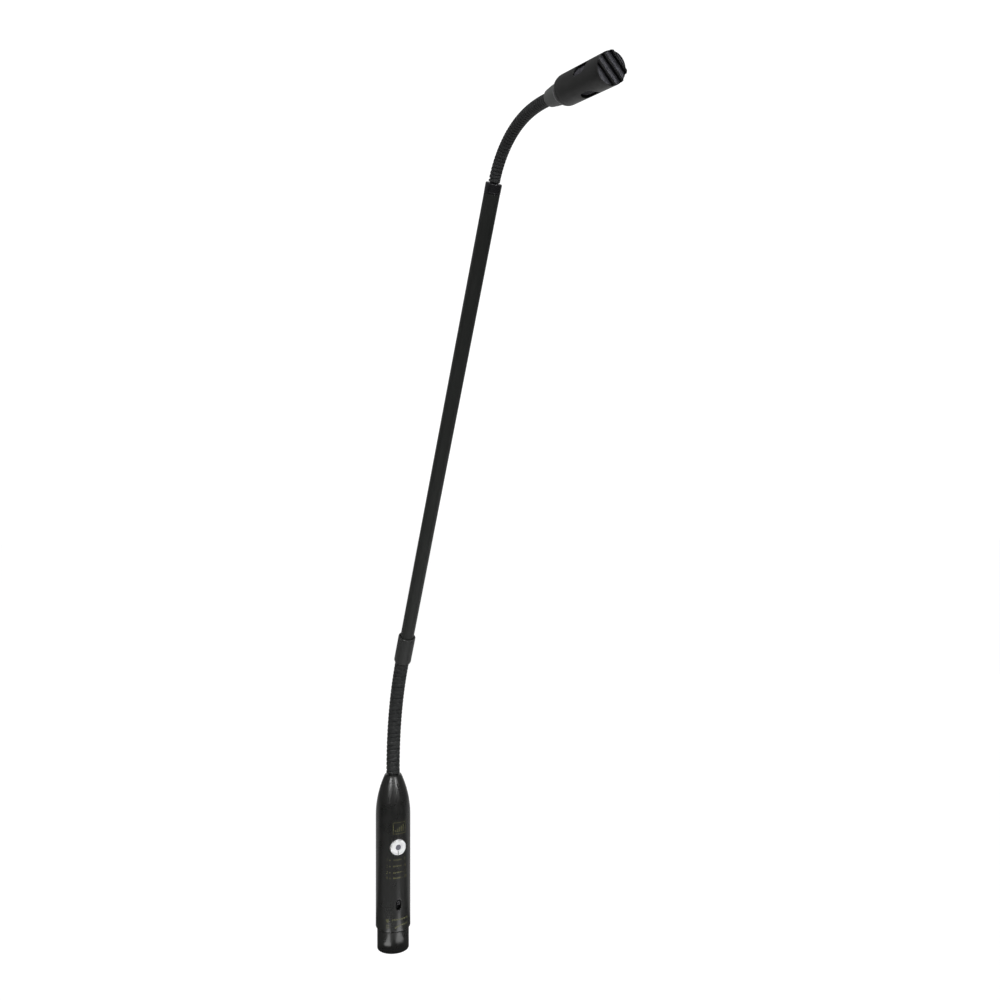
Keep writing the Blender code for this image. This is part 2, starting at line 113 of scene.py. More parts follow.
class Neck:
    """A gooseneck: its centre line as in the CAD, the hinges along it, and its wound wire."""

    def __init__(self, kind, start, tilt_at, length, ways, radius, pitch, depth, groove, first_gap, gap):
        self.kind, self.length, self.ways = kind, length, ways
        self.radius, self.pitch, self.depth, self.groove = radius, pitch, depth, groove
        self.first_gap, self.gap = first_gap, gap
        self.step = length / 600
        self.points = []
        place = start.copy()
        for index in range(601):
            self.points.append((place.copy(), tilt_at(index * self.step)))
            tilt = tilt_at((index + 0.5) * self.step)
            place += Vector((0.0, -math.sin(tilt), math.cos(tilt))) * self.step

    def at(self, distance):
        """The frame at a distance along the neck: Z runs along it, X is the axis that it bends about."""
        index = min(max(int(distance / self.step), 0), 599)
        part = distance / self.step - index
        (low, low_tilt), (high, high_tilt) = self.points[index : index + 2]
        tilt = low_tilt + (high_tilt - low_tilt) * part
        return Matrix.Translation(low.lerp(high, part)) @ Matrix.Rotation(tilt, 4, "X")

    def hinge(self, number):
        return self.length * number / (len(self.ways) - 1)

    def cut_turn(self, number):
        """The turn of the wire where it is cut at a hinge: on the hinge's own axis, so that the two
        ends pass each other as the neck bends."""
        offset = 0.0 if self.ways[number] == "P" else 0.25
        return round((self.hinge(number) / self.pitch - offset) * 2) / 2 + offset


LOWER_BEND_START = 3.0 * MM
LOWER_LENGTH = 73.2 * MM
UPPER_LENGTH = 62.7 * MM
UPPER_BEND = math.radians(70.5)
UPPER_BEND_POWER = 1.65


def lower_tilt(distance):
    return STEM_TILT * max(0.0, distance - LOWER_BEND_START) / (LOWER_LENGTH - LOWER_BEND_START)


def upper_tilt(distance):
    left = max(0.0, 1.0 - distance / UPPER_LENGTH)
    return STEM_TILT + UPPER_BEND * (1.0 - left**UPPER_BEND_POWER)


LOWER = Neck(
    "lower", Vector((0, 0, BASE_HEIGHT)), lower_tilt, LOWER_LENGTH, "PPSPPSPPSP",
    radius=4.05 * MM, pitch=2.56 * MM, depth=0.26 * MM, groove=0.5 * MM, first_gap=0.68 * MM, gap=0.7 * MM,
)
STEM_PLACE = LOWER.at(LOWER.length)
UPPER = Neck(
    "upper", STEM_PLACE @ Vector((0, 0, STEM_END)), upper_tilt, UPPER_LENGTH, "PPSPPSPPSPPS",
    radius=2.75 * MM, pitch=1.75 * MM, depth=0.17 * MM, groove=0.34 * MM, first_gap=0.28 * MM, gap=0.5 * MM,
)
HEAD_PLACE = UPPER.at(UPPER.length)


# Making meshes


def mesh_of(name, verts, faces, sharp=35.0):
    """A mesh with outward normals, smooth but for its sharp edges."""
    shape = bmesh.new()
    made = [shape.verts.new(vert) for vert in verts]
    for face in faces:
        shape.faces.new([made[index] for index in face])
    bmesh.ops.recalc_face_normals(shape, faces=shape.faces[:])
    mesh = bpy.data.meshes.new(name)
    shape.to_mesh(mesh)
    shape.free()
    return shaded(mesh, sharp)


def shaded(mesh, sharp=35.0):
    mesh.polygons.foreach_set("use_smooth", [True] * len(mesh.polygons))
    mesh.set_sharp_from_angle(angle=math.radians(sharp))
    return mesh


def rounded(corners, steps=5):
    """A profile with rounded corners. A corner is (radius, height), or (radius, height, reach) where
    reach is how far before and after the corner its round starts and ends."""
    points = []
    for index, corner in enumerate(corners):
        here = Vector(corner[:2])
        if len(corner) == 2:
            points.append(tuple(here))
            continue
        before = Vector(corners[index - 1][:2])
        after = Vector(corners[(index + 1) % len(corners)][:2])
        start = here + (before - here).normalized() * corner[2]
        end = here + (after - here).normalized() * corner[2]
        for step in range(steps + 1):
            part = step / steps
            points.append(tuple(start.lerp(here, part).lerp(here.lerp(end, part), part)))
    return points


def grid_faces(rings, closed_ends=False):
    """Faces between rings of vertex numbers. A ring of one is a point. With closed_ends the first and
    last rings get a cap; without, the last ring joins the first."""
    faces = []
    pairs = list(zip(rings, rings[1:]))
    if not closed_ends and len(rings[0]) > 1:
        pairs.append((rings[-1], rings[0]))
    for low, high in pairs:
        count = max(len(low), len(high))
        for k in range(count):
            n = (k + 1) % count
            if len(low) == 1:
                faces.append((low[0], high[k], high[n]))
            elif len(high) == 1:
                faces.append((low[k], high[0], low[n]))
            else:
                faces.append((low[k], high[k], high[n], low[n]))
    if closed_ends:
        faces += [tuple(ring) for ring in (rings[0], rings[-1]) if len(ring) > 1]
    return faces


def turned_mesh(name, profile, sides=128, sharp=35.0):
    """A turned solid about Z: profile is (radius, height) pairs, from axis to axis, or a closed ring."""
    verts, rings = [], []
    for radius, height in profile:
        start = len(verts)
        if radius == 0.0:
            verts.append((0.0, 0.0, height))
            rings.append([start])
            continue
        for k in range(sides):
            angle = 2 * math.pi * k / sides
            verts.append((radius * math.cos(angle), radius * math.sin(angle), height))
        rings.append(list(range(start, start + sides)))
    return mesh_of(name, verts, grid_faces(rings), sharp)


def lofted_mesh(name, loops, sharp=35.0):
    """A solid through loops of points, capped at both ends."""
    verts = [point for loop in loops for point in loop]
    count = len(loops[0])
    rings = [list(range(i * count, (i + 1) * count)) for i in range(len(loops))]
    return mesh_of(name, verts, grid_faces(rings, closed_ends=True), sharp)


def tube_loops(points, radius, sides):
    """Loops round a path of points, each square to it."""
    loops = []
    for index, point in enumerate(points):
        ahead = points[min(index + 1, len(points) - 1)] - points[max(index - 1, 0)]
        turn = ahead.to_track_quat("Z", "Y").to_matrix()
        ring = [2 * math.pi * k / sides for k in range(sides)]
        loops.append([point + turn @ Vector((math.cos(a), math.sin(a), 0)) * radius for a in ring])
    return loops


def joined(name, meshes, sharp=35.0):
    shape = bmesh.new()
    for mesh in meshes:
        shape.from_mesh(mesh)
    mesh = bpy.data.meshes.new(name)
    shape.to_mesh(mesh)
    shape.free()
    for part in meshes:
        bpy.data.meshes.remove(part)
    return shaded(mesh, sharp)


def moved(mesh, place):
    mesh.transform(place)
    return mesh


def carved(mesh, cutters, sharp=35.0):
    """The mesh with the cutter meshes taken out of it."""
    body = bpy.data.objects.new("body", mesh)
    made = [body]
    bpy.context.scene.collection.objects.link(body)
    for cutter_mesh in cutters:
        cutter = bpy.data.objects.new("cutter", cutter_mesh)
        bpy.context.scene.collection.objects.link(cutter)
        made.append(cutter)
        modifier = body.modifiers.new("Cut", "BOOLEAN")
        modifier.operation = "DIFFERENCE"
        modifier.solver = "EXACT"
        modifier.object = cutter
    graph = bpy.context.evaluated_depsgraph_get()
    result = bpy.data.meshes.new_from_object(body.evaluated_get(graph))
    for obj in made:
        used = obj.data
        bpy.data.objects.remove(obj)
        bpy.data.meshes.remove(used)
    shape = bmesh.new()
    shape.from_mesh(result)
    bmesh.ops.remove_doubles(shape, verts=shape.verts[:], dist=1e-7)
    bmesh.ops.dissolve_degenerate(shape, edges=shape.edges[:], dist=1e-7)
    shape.to_mesh(result)
    shape.free()
    return shaded(result, sharp)


def box_mesh(name, size, bevel=0.0):
    mesh = bpy.data.meshes.new(name)
    shape = bmesh.new()
    bmesh.ops.create_cube(shape, size=1.0, matrix=Matrix.Diagonal((*size, 1.0)))
    if bevel:
        edges = shape.edges[:]
        bmesh.ops.bevel(shape, geom=edges, offset=bevel, segments=3, affect="EDGES", profile=0.5)
    shape.to_mesh(mesh)
    shape.free()
    return shaded(mesh)


def circle_outline(radius, points=96):
    def outline(grow):
        turns = [2 * math.pi * k / points for k in range(points)]
        return [((radius + grow) * math.cos(a), (radius + grow) * math.sin(a)) for a in turns]

    return outline


def oblong_outline(length, width, points=48):
    """A round-ended slot, long along the cylinder's axis."""

    def outline(grow):
        half = width / 2 + grow
        reach = (length - width) / 2
        loop = []
        for end in (1, -1):
            for k in range(points // 2 + 1):
                angle = math.pi * k / (points // 2) + (0.0 if end > 0 else math.pi)
                loop.append((half * math.cos(angle), half * math.sin(angle) + end * reach))
        return loop

    return outline


def lip_cutter(outline, radius, lip, depth, place, steps=4):
    """Cuts a hole with a rounded lip through the wall of a cylinder about local Z. The hole's middle is
    on local +X, and place turns it there and along."""
    outside = 1.5 * MM
    proud = 0.04 * lip

    def loop(grow, x_at):
        return [place @ Vector((x_at(across), across, along)) for across, along in outline(grow)]

    def sunk(sink):
        return lambda across: math.sqrt(radius**2 - across**2) - sink

    loops = [loop(0.0, lambda across: radius - depth)]
    for step in range(steps + 1):
        angle = math.pi / 2 * step / steps
        loops.append(loop(lip * (1 - math.cos(angle)), sunk(lip * (1 - math.sin(angle)) - proud)))
    loops.append(loop(lip, lambda across: radius + outside))
    return lofted_mesh("lip_cutter", loops)


# Materials


class Look:
    """A procedural material: a Principled shader, and textures in the piece's own coordinates."""

    def __init__(self, name, slot, colour, roughness, metallic=0.0, **sockets):
        self.name, self.slot = name, slot
        self.material = bpy.data.materials.new(f"{name}_look")
        self.material.use_nodes = True
        self.nodes = self.material.node_tree.nodes
        self.links = self.material.node_tree.links
        self.shader = self.nodes["Principled BSDF"]
        self.colour = (*colour, 1.0)
        self.shader.inputs["Base Color"].default_value = self.colour
        self.shader.inputs["Roughness"].default_value = roughness
        self.shader.inputs["Metallic"].default_value = metallic
        for socket, value in sockets.items():
            self.shader.inputs[socket.replace("_", " ")].default_value = value
        self.place = self.nodes.new("ShaderNodeTexCoord").outputs["Object"]
        self.normal = None

    def add(self, kind, inputs=(), **settings):
        node = self.nodes.new(kind)
        for name, value in settings.items():
            setattr(node, name, value)
        for socket, value in dict(inputs).items():
            if isinstance(value, bpy.types.NodeSocket):
                self.links.new(value, node.inputs[socket])
            else:
                node.inputs[socket].default_value = value
        return node

    def stretched(self, scale):
        mapping = self.add("ShaderNodeMapping", {"Vector": self.place})
        mapping.inputs["Scale"].default_value = scale
        return mapping.outputs["Vector"]

    def noise(self, size, detail=3.0, stretch=None):
        """Noise with features of about the given size in metres."""
        vector = self.stretched(stretch) if stretch else self.place
        inputs = {"Vector": vector, "Scale": 1.0 / size, "Detail": detail, "Roughness": 0.55}
        return self.add("ShaderNodeTexNoise", inputs).outputs["Fac"]

    def cells(self, size, stretch=None):
        vector = self.stretched(stretch) if stretch else self.place
        inputs = {"Vector": vector, "Scale": 1.0 / size}
        return self.add("ShaderNodeTexVoronoi", inputs).outputs["Distance"]

    def ranged(self, source, low, high, to_low, to_high):
        inputs = {"Value": source, "From Min": low, "From Max": high, "To Min": to_low, "To Max": to_high}
        return self.add("ShaderNodeMapRange", inputs).outputs["Result"]

    def maths(self, operation, first, second):
        return self.add("ShaderNodeMath", {0: first, 1: second}, operation=operation).outputs[0]

    def tint(self, factor, colour):
        """Mixes another colour into the base colour by a factor."""
        node = self.add("ShaderNodeMix", data_type="RGBA")
        node.inputs["Factor"].default_value = 0.0
        self.links.new(factor, node.inputs["Factor"])
        base = self.shader.inputs["Base Color"]
        if base.is_linked:
            self.links.new(base.links[0].from_socket, node.inputs["A"])
        else:
            node.inputs["A"].default_value = self.colour
        node.inputs["B"].default_value = (*colour, 1.0)
        self.links.new(node.outputs["Result"], base)
        return self

    def patch(self, source, low, high, share, colour):
        """Tints by up to share where the source goes from low to high."""
        return self.tint(self.ranged(source, low, high, 0.0, share), colour)

    def rough(self, source, to_low, to_high):
        """Varies the roughness with a noise."""
        level = self.ranged(source, 0.3, 0.7, to_low, to_high)
        self.links.new(level, self.shader.inputs["Roughness"])
        return self

    def bump(self, height, distance, strength=1.0):
        """Raises the surface by the height, times distance in metres."""
        inputs = {"Height": height, "Distance": distance, "Strength": strength}
        if self.normal:
            inputs["Normal"] = self.normal
        self.normal = self.add("ShaderNodeBump", inputs).outputs["Normal"]
        self.links.new(self.normal, self.shader.inputs["Normal"])
        return self

    def edges(self, radius, low=0.02, high=0.25):
        """1 on convex edges and 0 elsewhere, found from a rounded normal."""
        soft = self.add("ShaderNodeBevel", {"Radius": radius}, samples=4).outputs["Normal"]
        hard = self.add("ShaderNodeNewGeometry").outputs["Normal"]
        dot = self.add("ShaderNodeVectorMath", {0: soft, 1: hard}, operation="DOT_PRODUCT").outputs["Value"]
        return self.ranged(dot, 1.0 - low, 1.0 - high, 0.0, 1.0)


def black_paint():
    """Smooth satin paint: a fine orange-peel, cloudy gloss and edges rubbed a little lighter."""
    look = Look("black_paint", "black_paint", (0.0105, 0.0108, 0.0100), 0.30, Specular_IOR_Level=0.5)
    fine = look.noise(0.35 * MM, detail=2.0)
    cloud = look.noise(6.0 * MM, detail=4.0)
    look.rough(cloud, 0.25, 0.34)
    look.patch(cloud, 0.35, 0.75, 0.5, (0.0165, 0.0168, 0.0160))
    patches = look.ranged(look.noise(0.9 * MM), 0.45, 0.65, 0.0, 0.55)
    look.tint(look.maths("MULTIPLY", look.edges(0.35 * MM), patches), (0.05, 0.05, 0.05))
    return look.bump(fine, 0.004 * MM, 0.6)


def stem_paint():
    """Paint on drawn tube: faint streaks along it and a cloudy gloss."""
    look = Look("stem_paint", "stem_paint", (0.0260, 0.0280, 0.0262), 0.42)
    streaks = look.noise(0.5 * MM, detail=3.0, stretch=(1.0, 1.0, 0.03))
    cloud = look.noise(9.0 * MM, detail=4.0, stretch=(1.0, 1.0, 0.4))
    look.rough(streaks, 0.38, 0.50)
    look.patch(cloud, 0.35, 0.7, 0.6, (0.0320, 0.0345, 0.0322))
    look.patch(streaks, 0.6, 0.75, 0.35, (0.044, 0.046, 0.044))
    look.bump(streaks, 0.004 * MM, 0.5)
    return look.bump(look.noise(0.3 * MM, detail=2.0), 0.004 * MM, 0.5)


def black_satin():
    """Fine matt coating on the collar and the head: tiny grain and edges rubbed lighter."""
    look = Look("black_satin", "black_satin", (0.0340, 0.0355, 0.0345), 0.46)
    grain = look.noise(0.16 * MM, detail=3.0)
    cloud = look.noise(5.0 * MM, detail=4.0)
    look.rough(cloud, 0.41, 0.52)
    look.patch(cloud, 0.35, 0.75, 0.5, (0.042, 0.0435, 0.0425))
    patches = look.ranged(look.noise(0.7 * MM), 0.42, 0.62, 0.0, 0.2)
    look.tint(look.maths("MULTIPLY", look.edges(0.3 * MM), patches), (0.075, 0.076, 0.075))
    return look.bump(grain, 0.012 * MM, 0.6)


def neck_wire(name, colour):
    """Blackened spring wire: a fine grain, cloudy blackening and rubbed spots."""
    look = Look(name, "neck_black", colour, 0.55, Specular_IOR_Level=0.35)
    grain = look.noise(0.22 * MM, detail=4.0)
    cloud = look.noise(4.0 * MM, detail=3.0)
    look.rough(grain, 0.48, 0.64)
    look.patch(cloud, 0.35, 0.7, 0.6, tuple(1.3 * part for part in colour))
    rubbed = look.ranged(look.noise(0.8 * MM, detail=5.0), 0.58, 0.72, 0.0, 0.4)
    look.tint(rubbed, tuple(2.0 * part for part in colour))
    return look.bump(grain, 0.008 * MM, 0.5)


def ferrule_black():
    """Glossy black nickel with faint turning rings."""
    look = Look("ferrule_black", "ferrule_black", (0.060, 0.060, 0.064), 0.20, metallic=0.6)
    rings = look.noise(0.25 * MM, detail=2.0, stretch=(0.05, 0.05, 1.0))
    smudge = look.noise(2.0 * MM, detail=4.0)
    look.rough(smudge, 0.12, 0.24)
    look.patch(smudge, 0.4, 0.7, 0.5, (0.035, 0.035, 0.038))
    return look.bump(rings, 0.002 * MM, 0.6)


def grey_rubber():
    """Moulded grey rubber: fine pores, soft marks, a matt sheen, and a painted highlight over its end by
    the head.
    """
    sheen = {"Sheen_Weight": 0.15, "Sheen_Roughness": 0.5}
    look = Look("grey_rubber", "grey_rubber", (0.205, 0.210, 0.207), 0.62, **sheen)
    pores = look.noise(0.12 * MM, detail=3.0)
    marks = look.noise(2.5 * MM, detail=4.0)
    look.rough(marks, 0.55, 0.70)
    look.patch(marks, 0.4, 0.7, 0.6, (0.250, 0.254, 0.251))
    # Painted highlight: the boot is tinted pale from 10.3 mm up, fully from 10.6 mm, over its flange end by
    # the head.
    painted_highlight_axes = look.add("ShaderNodeSeparateXYZ", {"Vector": look.place})
    look.patch(painted_highlight_axes.outputs["Z"], 10.3 * MM, 10.6 * MM, 0.9, (0.400, 0.400, 0.425))
    return look.bump(pores, 0.012 * MM, 0.6)


def rib_black():
    """Dull black moulding in the head's satin finish, coloured about six times darker than the coat:
    painted shade on the ribs.
    """
    look = Look("rib_black", "black_satin", (0.0060, 0.0062, 0.0066), 0.55, Specular_IOR_Level=0.3)
    cloud = look.noise(1.2 * MM, detail=4.0)
    look.rough(cloud, 0.48, 0.62)
    look.patch(cloud, 0.5, 0.75, 0.5, (0.010, 0.010, 0.011))
    return look.bump(look.noise(0.14 * MM), 0.006 * MM, 0.6)


def black_rubber():
    look = Look("black_rubber", "black_rubber", (0.012, 0.012, 0.012), 0.8)
    look.rough(look.noise(1.0 * MM), 0.7, 0.9)
    return look.bump(look.noise(0.15 * MM), 0.01 * MM)


def white_plastic():
    """White moulded plastic with a faint warm mottle and fine mould texture."""
    look = Look("white_plastic", "white_plastic", (0.92, 0.925, 0.93), 0.40)
    mottle = look.noise(1.6 * MM, detail=4.0)
    look.rough(mottle, 0.30, 0.44)
    look.patch(mottle, 0.5, 0.75, 0.25, (0.86, 0.86, 0.83))
    return look.bump(look.noise(0.1 * MM), 0.004 * MM, 0.5)


def dark_plastic():
    """Black moulding for the insert, the lever and the switches."""
    look = Look("dark_plastic", "dark_plastic", (0.022, 0.022, 0.024), 0.45)
    cloud = look.noise(1.2 * MM, detail=4.0)
    look.rough(cloud, 0.38, 0.55)
    look.patch(cloud, 0.5, 0.75, 0.5, (0.033, 0.033, 0.036))
    return look.bump(look.noise(0.14 * MM), 0.008 * MM, 0.6)


def pale_grey(name, colour):
    """Paint or plastic with a fine mottle, for small marks and the dial's shaft."""
    look = Look(name, "dark_plastic", colour, 0.55)
    look.patch(look.noise(0.5 * MM), 0.4, 0.7, 0.5, tuple(1.3 * part for part in colour))
    return look.bump(look.noise(0.1 * MM), 0.005 * MM)


def bright_metal(name, slot, colour, roughness, ring_size):
    """Turned metal: fine rings, a light tarnish and small scratches."""
    look = Look(name, slot, colour, roughness, metallic=1.0)
    rings = look.noise(ring_size, detail=2.0, stretch=(0.06, 0.06, 1.0))
    tarnish = look.noise(1.6 * MM, detail=5.0)
    look.rough(tarnish, roughness - 0.07, roughness + 0.14)
    look.patch(tarnish, 0.5, 0.8, 0.6, tuple(0.6 * part for part in colour))
    return look.bump(rings, 0.003 * MM, 0.7)


def mesh_grey():
    """Woven wire, dull grey with darker hollows."""
    look = Look("mesh_grey", "mesh_grey", (0.200, 0.200, 0.228), 0.55)
    grain = look.noise(0.2 * MM, detail=3.0)
    look.rough(grain, 0.48, 0.64)
    look.patch(look.noise(1.5 * MM), 0.4, 0.7, 0.5, (0.155, 0.155, 0.176))
    return look.bump(grain, 0.004 * MM, 0.5)


def foam_grey():
    """Open-cell foam."""
    look = Look("foam_grey", "foam_grey", (0.030, 0.030, 0.031), 0.95)
    pores = look.cells(0.35 * MM)
    look.patch(pores, 0.2, 0.6, 1.0, (0.008, 0.008, 0.008))
    look.rough(look.noise(0.5 * MM), 0.85, 1.0)
    return look.bump(pores, 0.12 * MM)


def board_green():
    """Circuit board: solder mask over traces, with a fine glass weave."""
    look = Look("board_green", "board_green", (0.010, 0.11, 0.045), 0.42)
    traces = look.cells(2.2 * MM, stretch=(1.0, 1.0, 0.35))
    look.patch(traces, 0.50, 0.53, 0.8, (0.03, 0.20, 0.07))
    weave = look.noise(0.3 * MM, detail=1.0, stretch=(1.0, 1.0, 3.0))
    look.rough(weave, 0.34, 0.5)
    return look.bump(look.ranged(traces, 0.50, 0.53, 0.0, 1.0), 0.03 * MM)


def lead_black():
    look = Look("lead_black", "lead_black", (0.014, 0.014, 0.015), 0.55)
    look.rough(look.noise(0.8 * MM), 0.48, 0.66)
    return look.bump(look.noise(0.25 * MM, stretch=(1.0, 1.0, 0.2)), 0.01 * MM)


def gold_print():
    """Faded gold ink, worn away in patches."""
    look = Look("gold_print", "black_paint", (0.098, 0.098, 0.040), 0.55)
    worn = look.noise(0.7 * MM, detail=5.0)
    look.patch(worn, 0.40, 0.60, 0.9, (0.035, 0.035, 0.022))
    look.rough(worn, 0.42, 0.6)
    return look.bump(worn, 0.003 * MM)


LOOKS = {
    look.name: look
    for look in (
        black_paint(), stem_paint(), black_satin(), ferrule_black(), grey_rubber(),
        rib_black(), black_rubber(), white_plastic(), dark_plastic(), mesh_grey(), foam_grey(),
        board_green(), lead_black(), gold_print(),
        pale_grey("pointer_grey", (0.42, 0.43, 0.42)),
        pale_grey("shaft_grey", (0.16, 0.16, 0.19)),
        neck_wire("lower_wire", (0.024, 0.0252, 0.0250)),
        # Painted light: the upper neck's wire is the lower neck's blackened wire, coloured nearly three
        # times lighter for the brighter light it gets.
        neck_wire("upper_wire", (0.066, 0.068, 0.069)),
        bright_metal("silver", "silver", (0.62, 0.62, 0.63), 0.22, 0.2 * MM),
        bright_metal("brass", "brass", (0.58, 0.42, 0.16), 0.28, 0.2 * MM),
    )
}


def piece(name, mesh, look, body, *replaced, place=None):
    """A piece of the visual model, riding on its body."""
    obj = bpy.data.objects.new(name, mesh)
    obj.data.name = name
    obj.data.materials.append(LOOKS[look].material)
    bpy.context.scene.collection.objects.link(obj)
    if place:
        obj.matrix_world = place
    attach(obj, body)
    if replaced:
        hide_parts(*replaced)
    return obj


# Base


def nose_radius(height):
    risen = max(0.0, (height - NOSE_START) / (BASE_HEIGHT - NOSE_START))
    return BASE_RADIUS - (BASE_RADIUS - NOSE_TOP_RADIUS) * risen**NOSE_POWER


def on_side(degrees, height):
    """Turns local +X to an angle from +X about Z, at a height."""
    return Matrix.Rotation(math.radians(degrees), 4, "Z") @ Matrix.Translation((0, 0, height))


def make_housing():
    gland_bore = 3.3 * MM
    nose_steps = 30
    top = BASE_HEIGHT - 0.25 * MM
    nose = [(nose_radius(BASE_HEIGHT) - 0.22 * MM, BASE_HEIGHT), (nose_radius(top) - 0.03 * MM, top)]
    for step in range(1, nose_steps + 1):
        height = BASE_HEIGHT - 0.5 * MM - (BASE_HEIGHT - 0.5 * MM - NOSE_START) * step / nose_steps
        nose.append((nose_radius(height), height))
    barrel = [(BASE_RADIUS, height * MM) for height in (76.0, 70.0, 57.0, 40.0, 34.0, 26.0, 20.0)]
    corner = [(BASE_RADIUS, 18.0 * MM), (BASE_RADIUS, BASE_FOOT, 1.1 * MM), (BASE_BORE, BASE_FOOT)]
    foot = rounded(corner, 7)[1:]
    inside = [(BASE_BORE, NOSE_START), (6.4 * MM, 95.0 * MM), (6.1 * MM, 98.0 * MM)]
    inside += [(gland_bore, 98.0 * MM), (gland_bore, BASE_HEIGHT)]
    mesh = turned_mesh("housing", nose + barrel + foot + inside, sides=192)
    holes = [
        (circle_outline(DIAL_RADIUS + CLEARANCE), 0.3 * MM, 5.0 * MM, on_side(-90, DIAL_HEIGHT)),
        (oblong_outline(SWITCH_SLOT[1], SWITCH_SLOT[0]), 0.4 * MM, 3.0 * MM, on_side(-90, SWITCH_HEIGHT)),
        (circle_outline(SCREW_RADIUS + CLEARANCE, 48), 0.2 * MM, 2.4 * MM, on_side(90, SCREW_HEIGHT)),
    ]
    cutters = [lip_cutter(outline, BASE_RADIUS, lip, depth, place) for outline, lip, depth, place in holes]
    piece("base_shell", carved(mesh, cutters), "black_paint", "base", "base_housing")


def make_plug():
    spigot = BASE_BORE - CLEARANCE
    profile = [(spigot, PLUG_SPIGOT_TOP), (spigot, PLUG_LENGTH), (PLUG_RADIUS, PLUG_LENGTH, 0.15 * MM)]
    profile += [(PLUG_RADIUS, 0.0, 0.45 * MM), (PLUG_BORE, 0.0, 0.2 * MM), (PLUG_BORE, PLUG_SPIGOT_TOP)]
    shell = turned_mesh("plug", rounded(profile), sides=160)
    hole = turned_mesh("hole", [(0, 12 * MM), (1.3 * MM, 12 * MM), (1.3 * MM, 5 * MM), (0, 5 * MM)], 48)
    through = Matrix.Translation((0, 0, SCREW_HEIGHT)) @ Matrix.Rotation(-math.pi / 2, 4, "X")
    piece("plug_shell", carved(shell, [moved(hole, through)]), "black_paint", "base", "connector_shell")
    make_screw(through)
    make_insert()


def make_screw(place):
    head, low = 9.8 * MM, 8.1 * MM
    profile = rounded([(0, head), (SCREW_RADIUS, head, 0.2 * MM), (SCREW_RADIUS, low), (0, low)])
    slot = moved(box_mesh("slot", (0.28 * MM, 3 * MM, 0.7 * MM)), Matrix.Translation((0, 0, head)))
    mesh = carved(turned_mesh("screw", profile, 48), [slot])
    piece("lock_screw", mesh, "silver", "base", "connector_screw", place=place)


def pin_place(degrees):
    angle = math.radians(degrees)
    return Vector((math.cos(angle), -math.sin(angle), 0.0)) * PIN_CIRCLE


def make_insert():
    """The moulded insert with its pins, and small pin numbers beside them."""
    face = PLUG_LENGTH - 0.1 * MM
    radius = PLUG_BORE - CLEARANCE
    profile = [(0, PLUG_SPIGOT_TOP), (radius, PLUG_SPIGOT_TOP), (radius, face, 0.25 * MM), (0, face)]
    body = turned_mesh("insert", rounded(profile), 96)
    bore, flare = PIN_RADIUS + 0.12 * MM, 0.3 * MM
    mouth, deep = face - 0.2 * MM, 25 * MM
    hole = [(0, deep), (bore, deep), (bore, face + flare), (bore + flare, mouth), (0, mouth)]
    places = [pin_place(degrees) for degrees in PIN_ANGLES]
    holes = [moved(turned_mesh("hole", hole, 40), Matrix.Translation(across)) for across in places]
    piece("pin_insert", carved(body, holes), "dark_plastic", "base", "connector_insert")
    for number, across in enumerate(places, start=1):
        tip, top = 1.5 * MM, 22.5 * MM
        profile = rounded([(0, top), (PIN_RADIUS, top), (PIN_RADIUS, tip, 0.95 * MM), (0, tip)], 8)
        mesh = turned_mesh("pin", profile, 40)
        where = Matrix.Translation(across)
        piece(f"pin_{number}", mesh, "silver", "base", f"connector_pin_{number}", place=where)
        label = moved(digits(str(number), 1.5 * MM), Matrix.Rotation(math.pi, 4, "X"))
        spot = across.normalized() * 6.2 * MM + Vector((0.0, 0.0, face - 0.03 * MM))
        label = moved(label, Matrix.Translation(spot))
        piece(f"pin_number_{number}", label, "pointer_grey", "base")


def digits(text, size):
    """Plain numerals as a thin solid, centred, in the plane of X and Y."""
    curve = bpy.data.curves.new("digits", "FONT")
    curve.body = text
    curve.size = size
    curve.align_x = "CENTER"
    curve.align_y = "CENTER"
    curve.extrude = INK_HALF
    curve.resolution_u = 4
    writer = bpy.data.objects.new("digits", curve)
    bpy.context.scene.collection.objects.link(writer)
    graph = bpy.context.evaluated_depsgraph_get()
    mesh = bpy.data.meshes.new_from_object(writer.evaluated_get(graph))
    bpy.data.objects.remove(writer)
    bpy.data.curves.remove(curve)
    shape = bmesh.new()
    shape.from_mesh(mesh)
    bmesh.ops.remove_doubles(shape, verts=shape.verts[:], dist=1e-7)
    shape.to_mesh(mesh)
    shape.free()
    mesh.materials.clear()
    return shaded(mesh)


def stroke(start, end, width):
    """A straight mark in the plane of X and Y, in short pieces so that it can be wrapped."""
    start, end = Vector(start), Vector(end)
    along = (end - start).normalized()
    side = Vector((-along.y, along.x)) * width / 2
    count = max(1, round((end - start).length / (0.4 * MM)))
    loops = []
    for step in range(count + 1):
        middle = start.lerp(end, step / count)
        low, high = middle - side, middle + side
        loops.append([(*low, -INK_HALF), (*high, -INK_HALF), (*high, INK_HALF), (*low, INK_HALF)])
    return lofted_mesh("stroke", loops)


def wrapped(mesh, height):
    """Wraps a thin flat mesh round the front of the base: its X goes round and its Y goes up."""
    ink = 0.018 * MM  # how far the middle of the ink stands off the paint
    for vert in mesh.vertices:
        angle = vert.co.x / BASE_RADIUS - math.pi / 2
        radius = BASE_RADIUS + ink + vert.co.z
        vert.co = (radius * math.cos(angle), radius * math.sin(angle), height + vert.co.y)
    return mesh


def rectangle(middle, half, tall, height):
    """Four thin printed lines round a rectangle, half wide and tall high from its middle."""
    left, right = middle - half, middle + half
    corners = [(left, -tall), (right, -tall), (right, tall), (left, tall)]
    sides = zip(corners, corners[1:] + corners[:1])
    return [wrapped(stroke(first, second, 0.42 * MM), height) for first, second in sides]


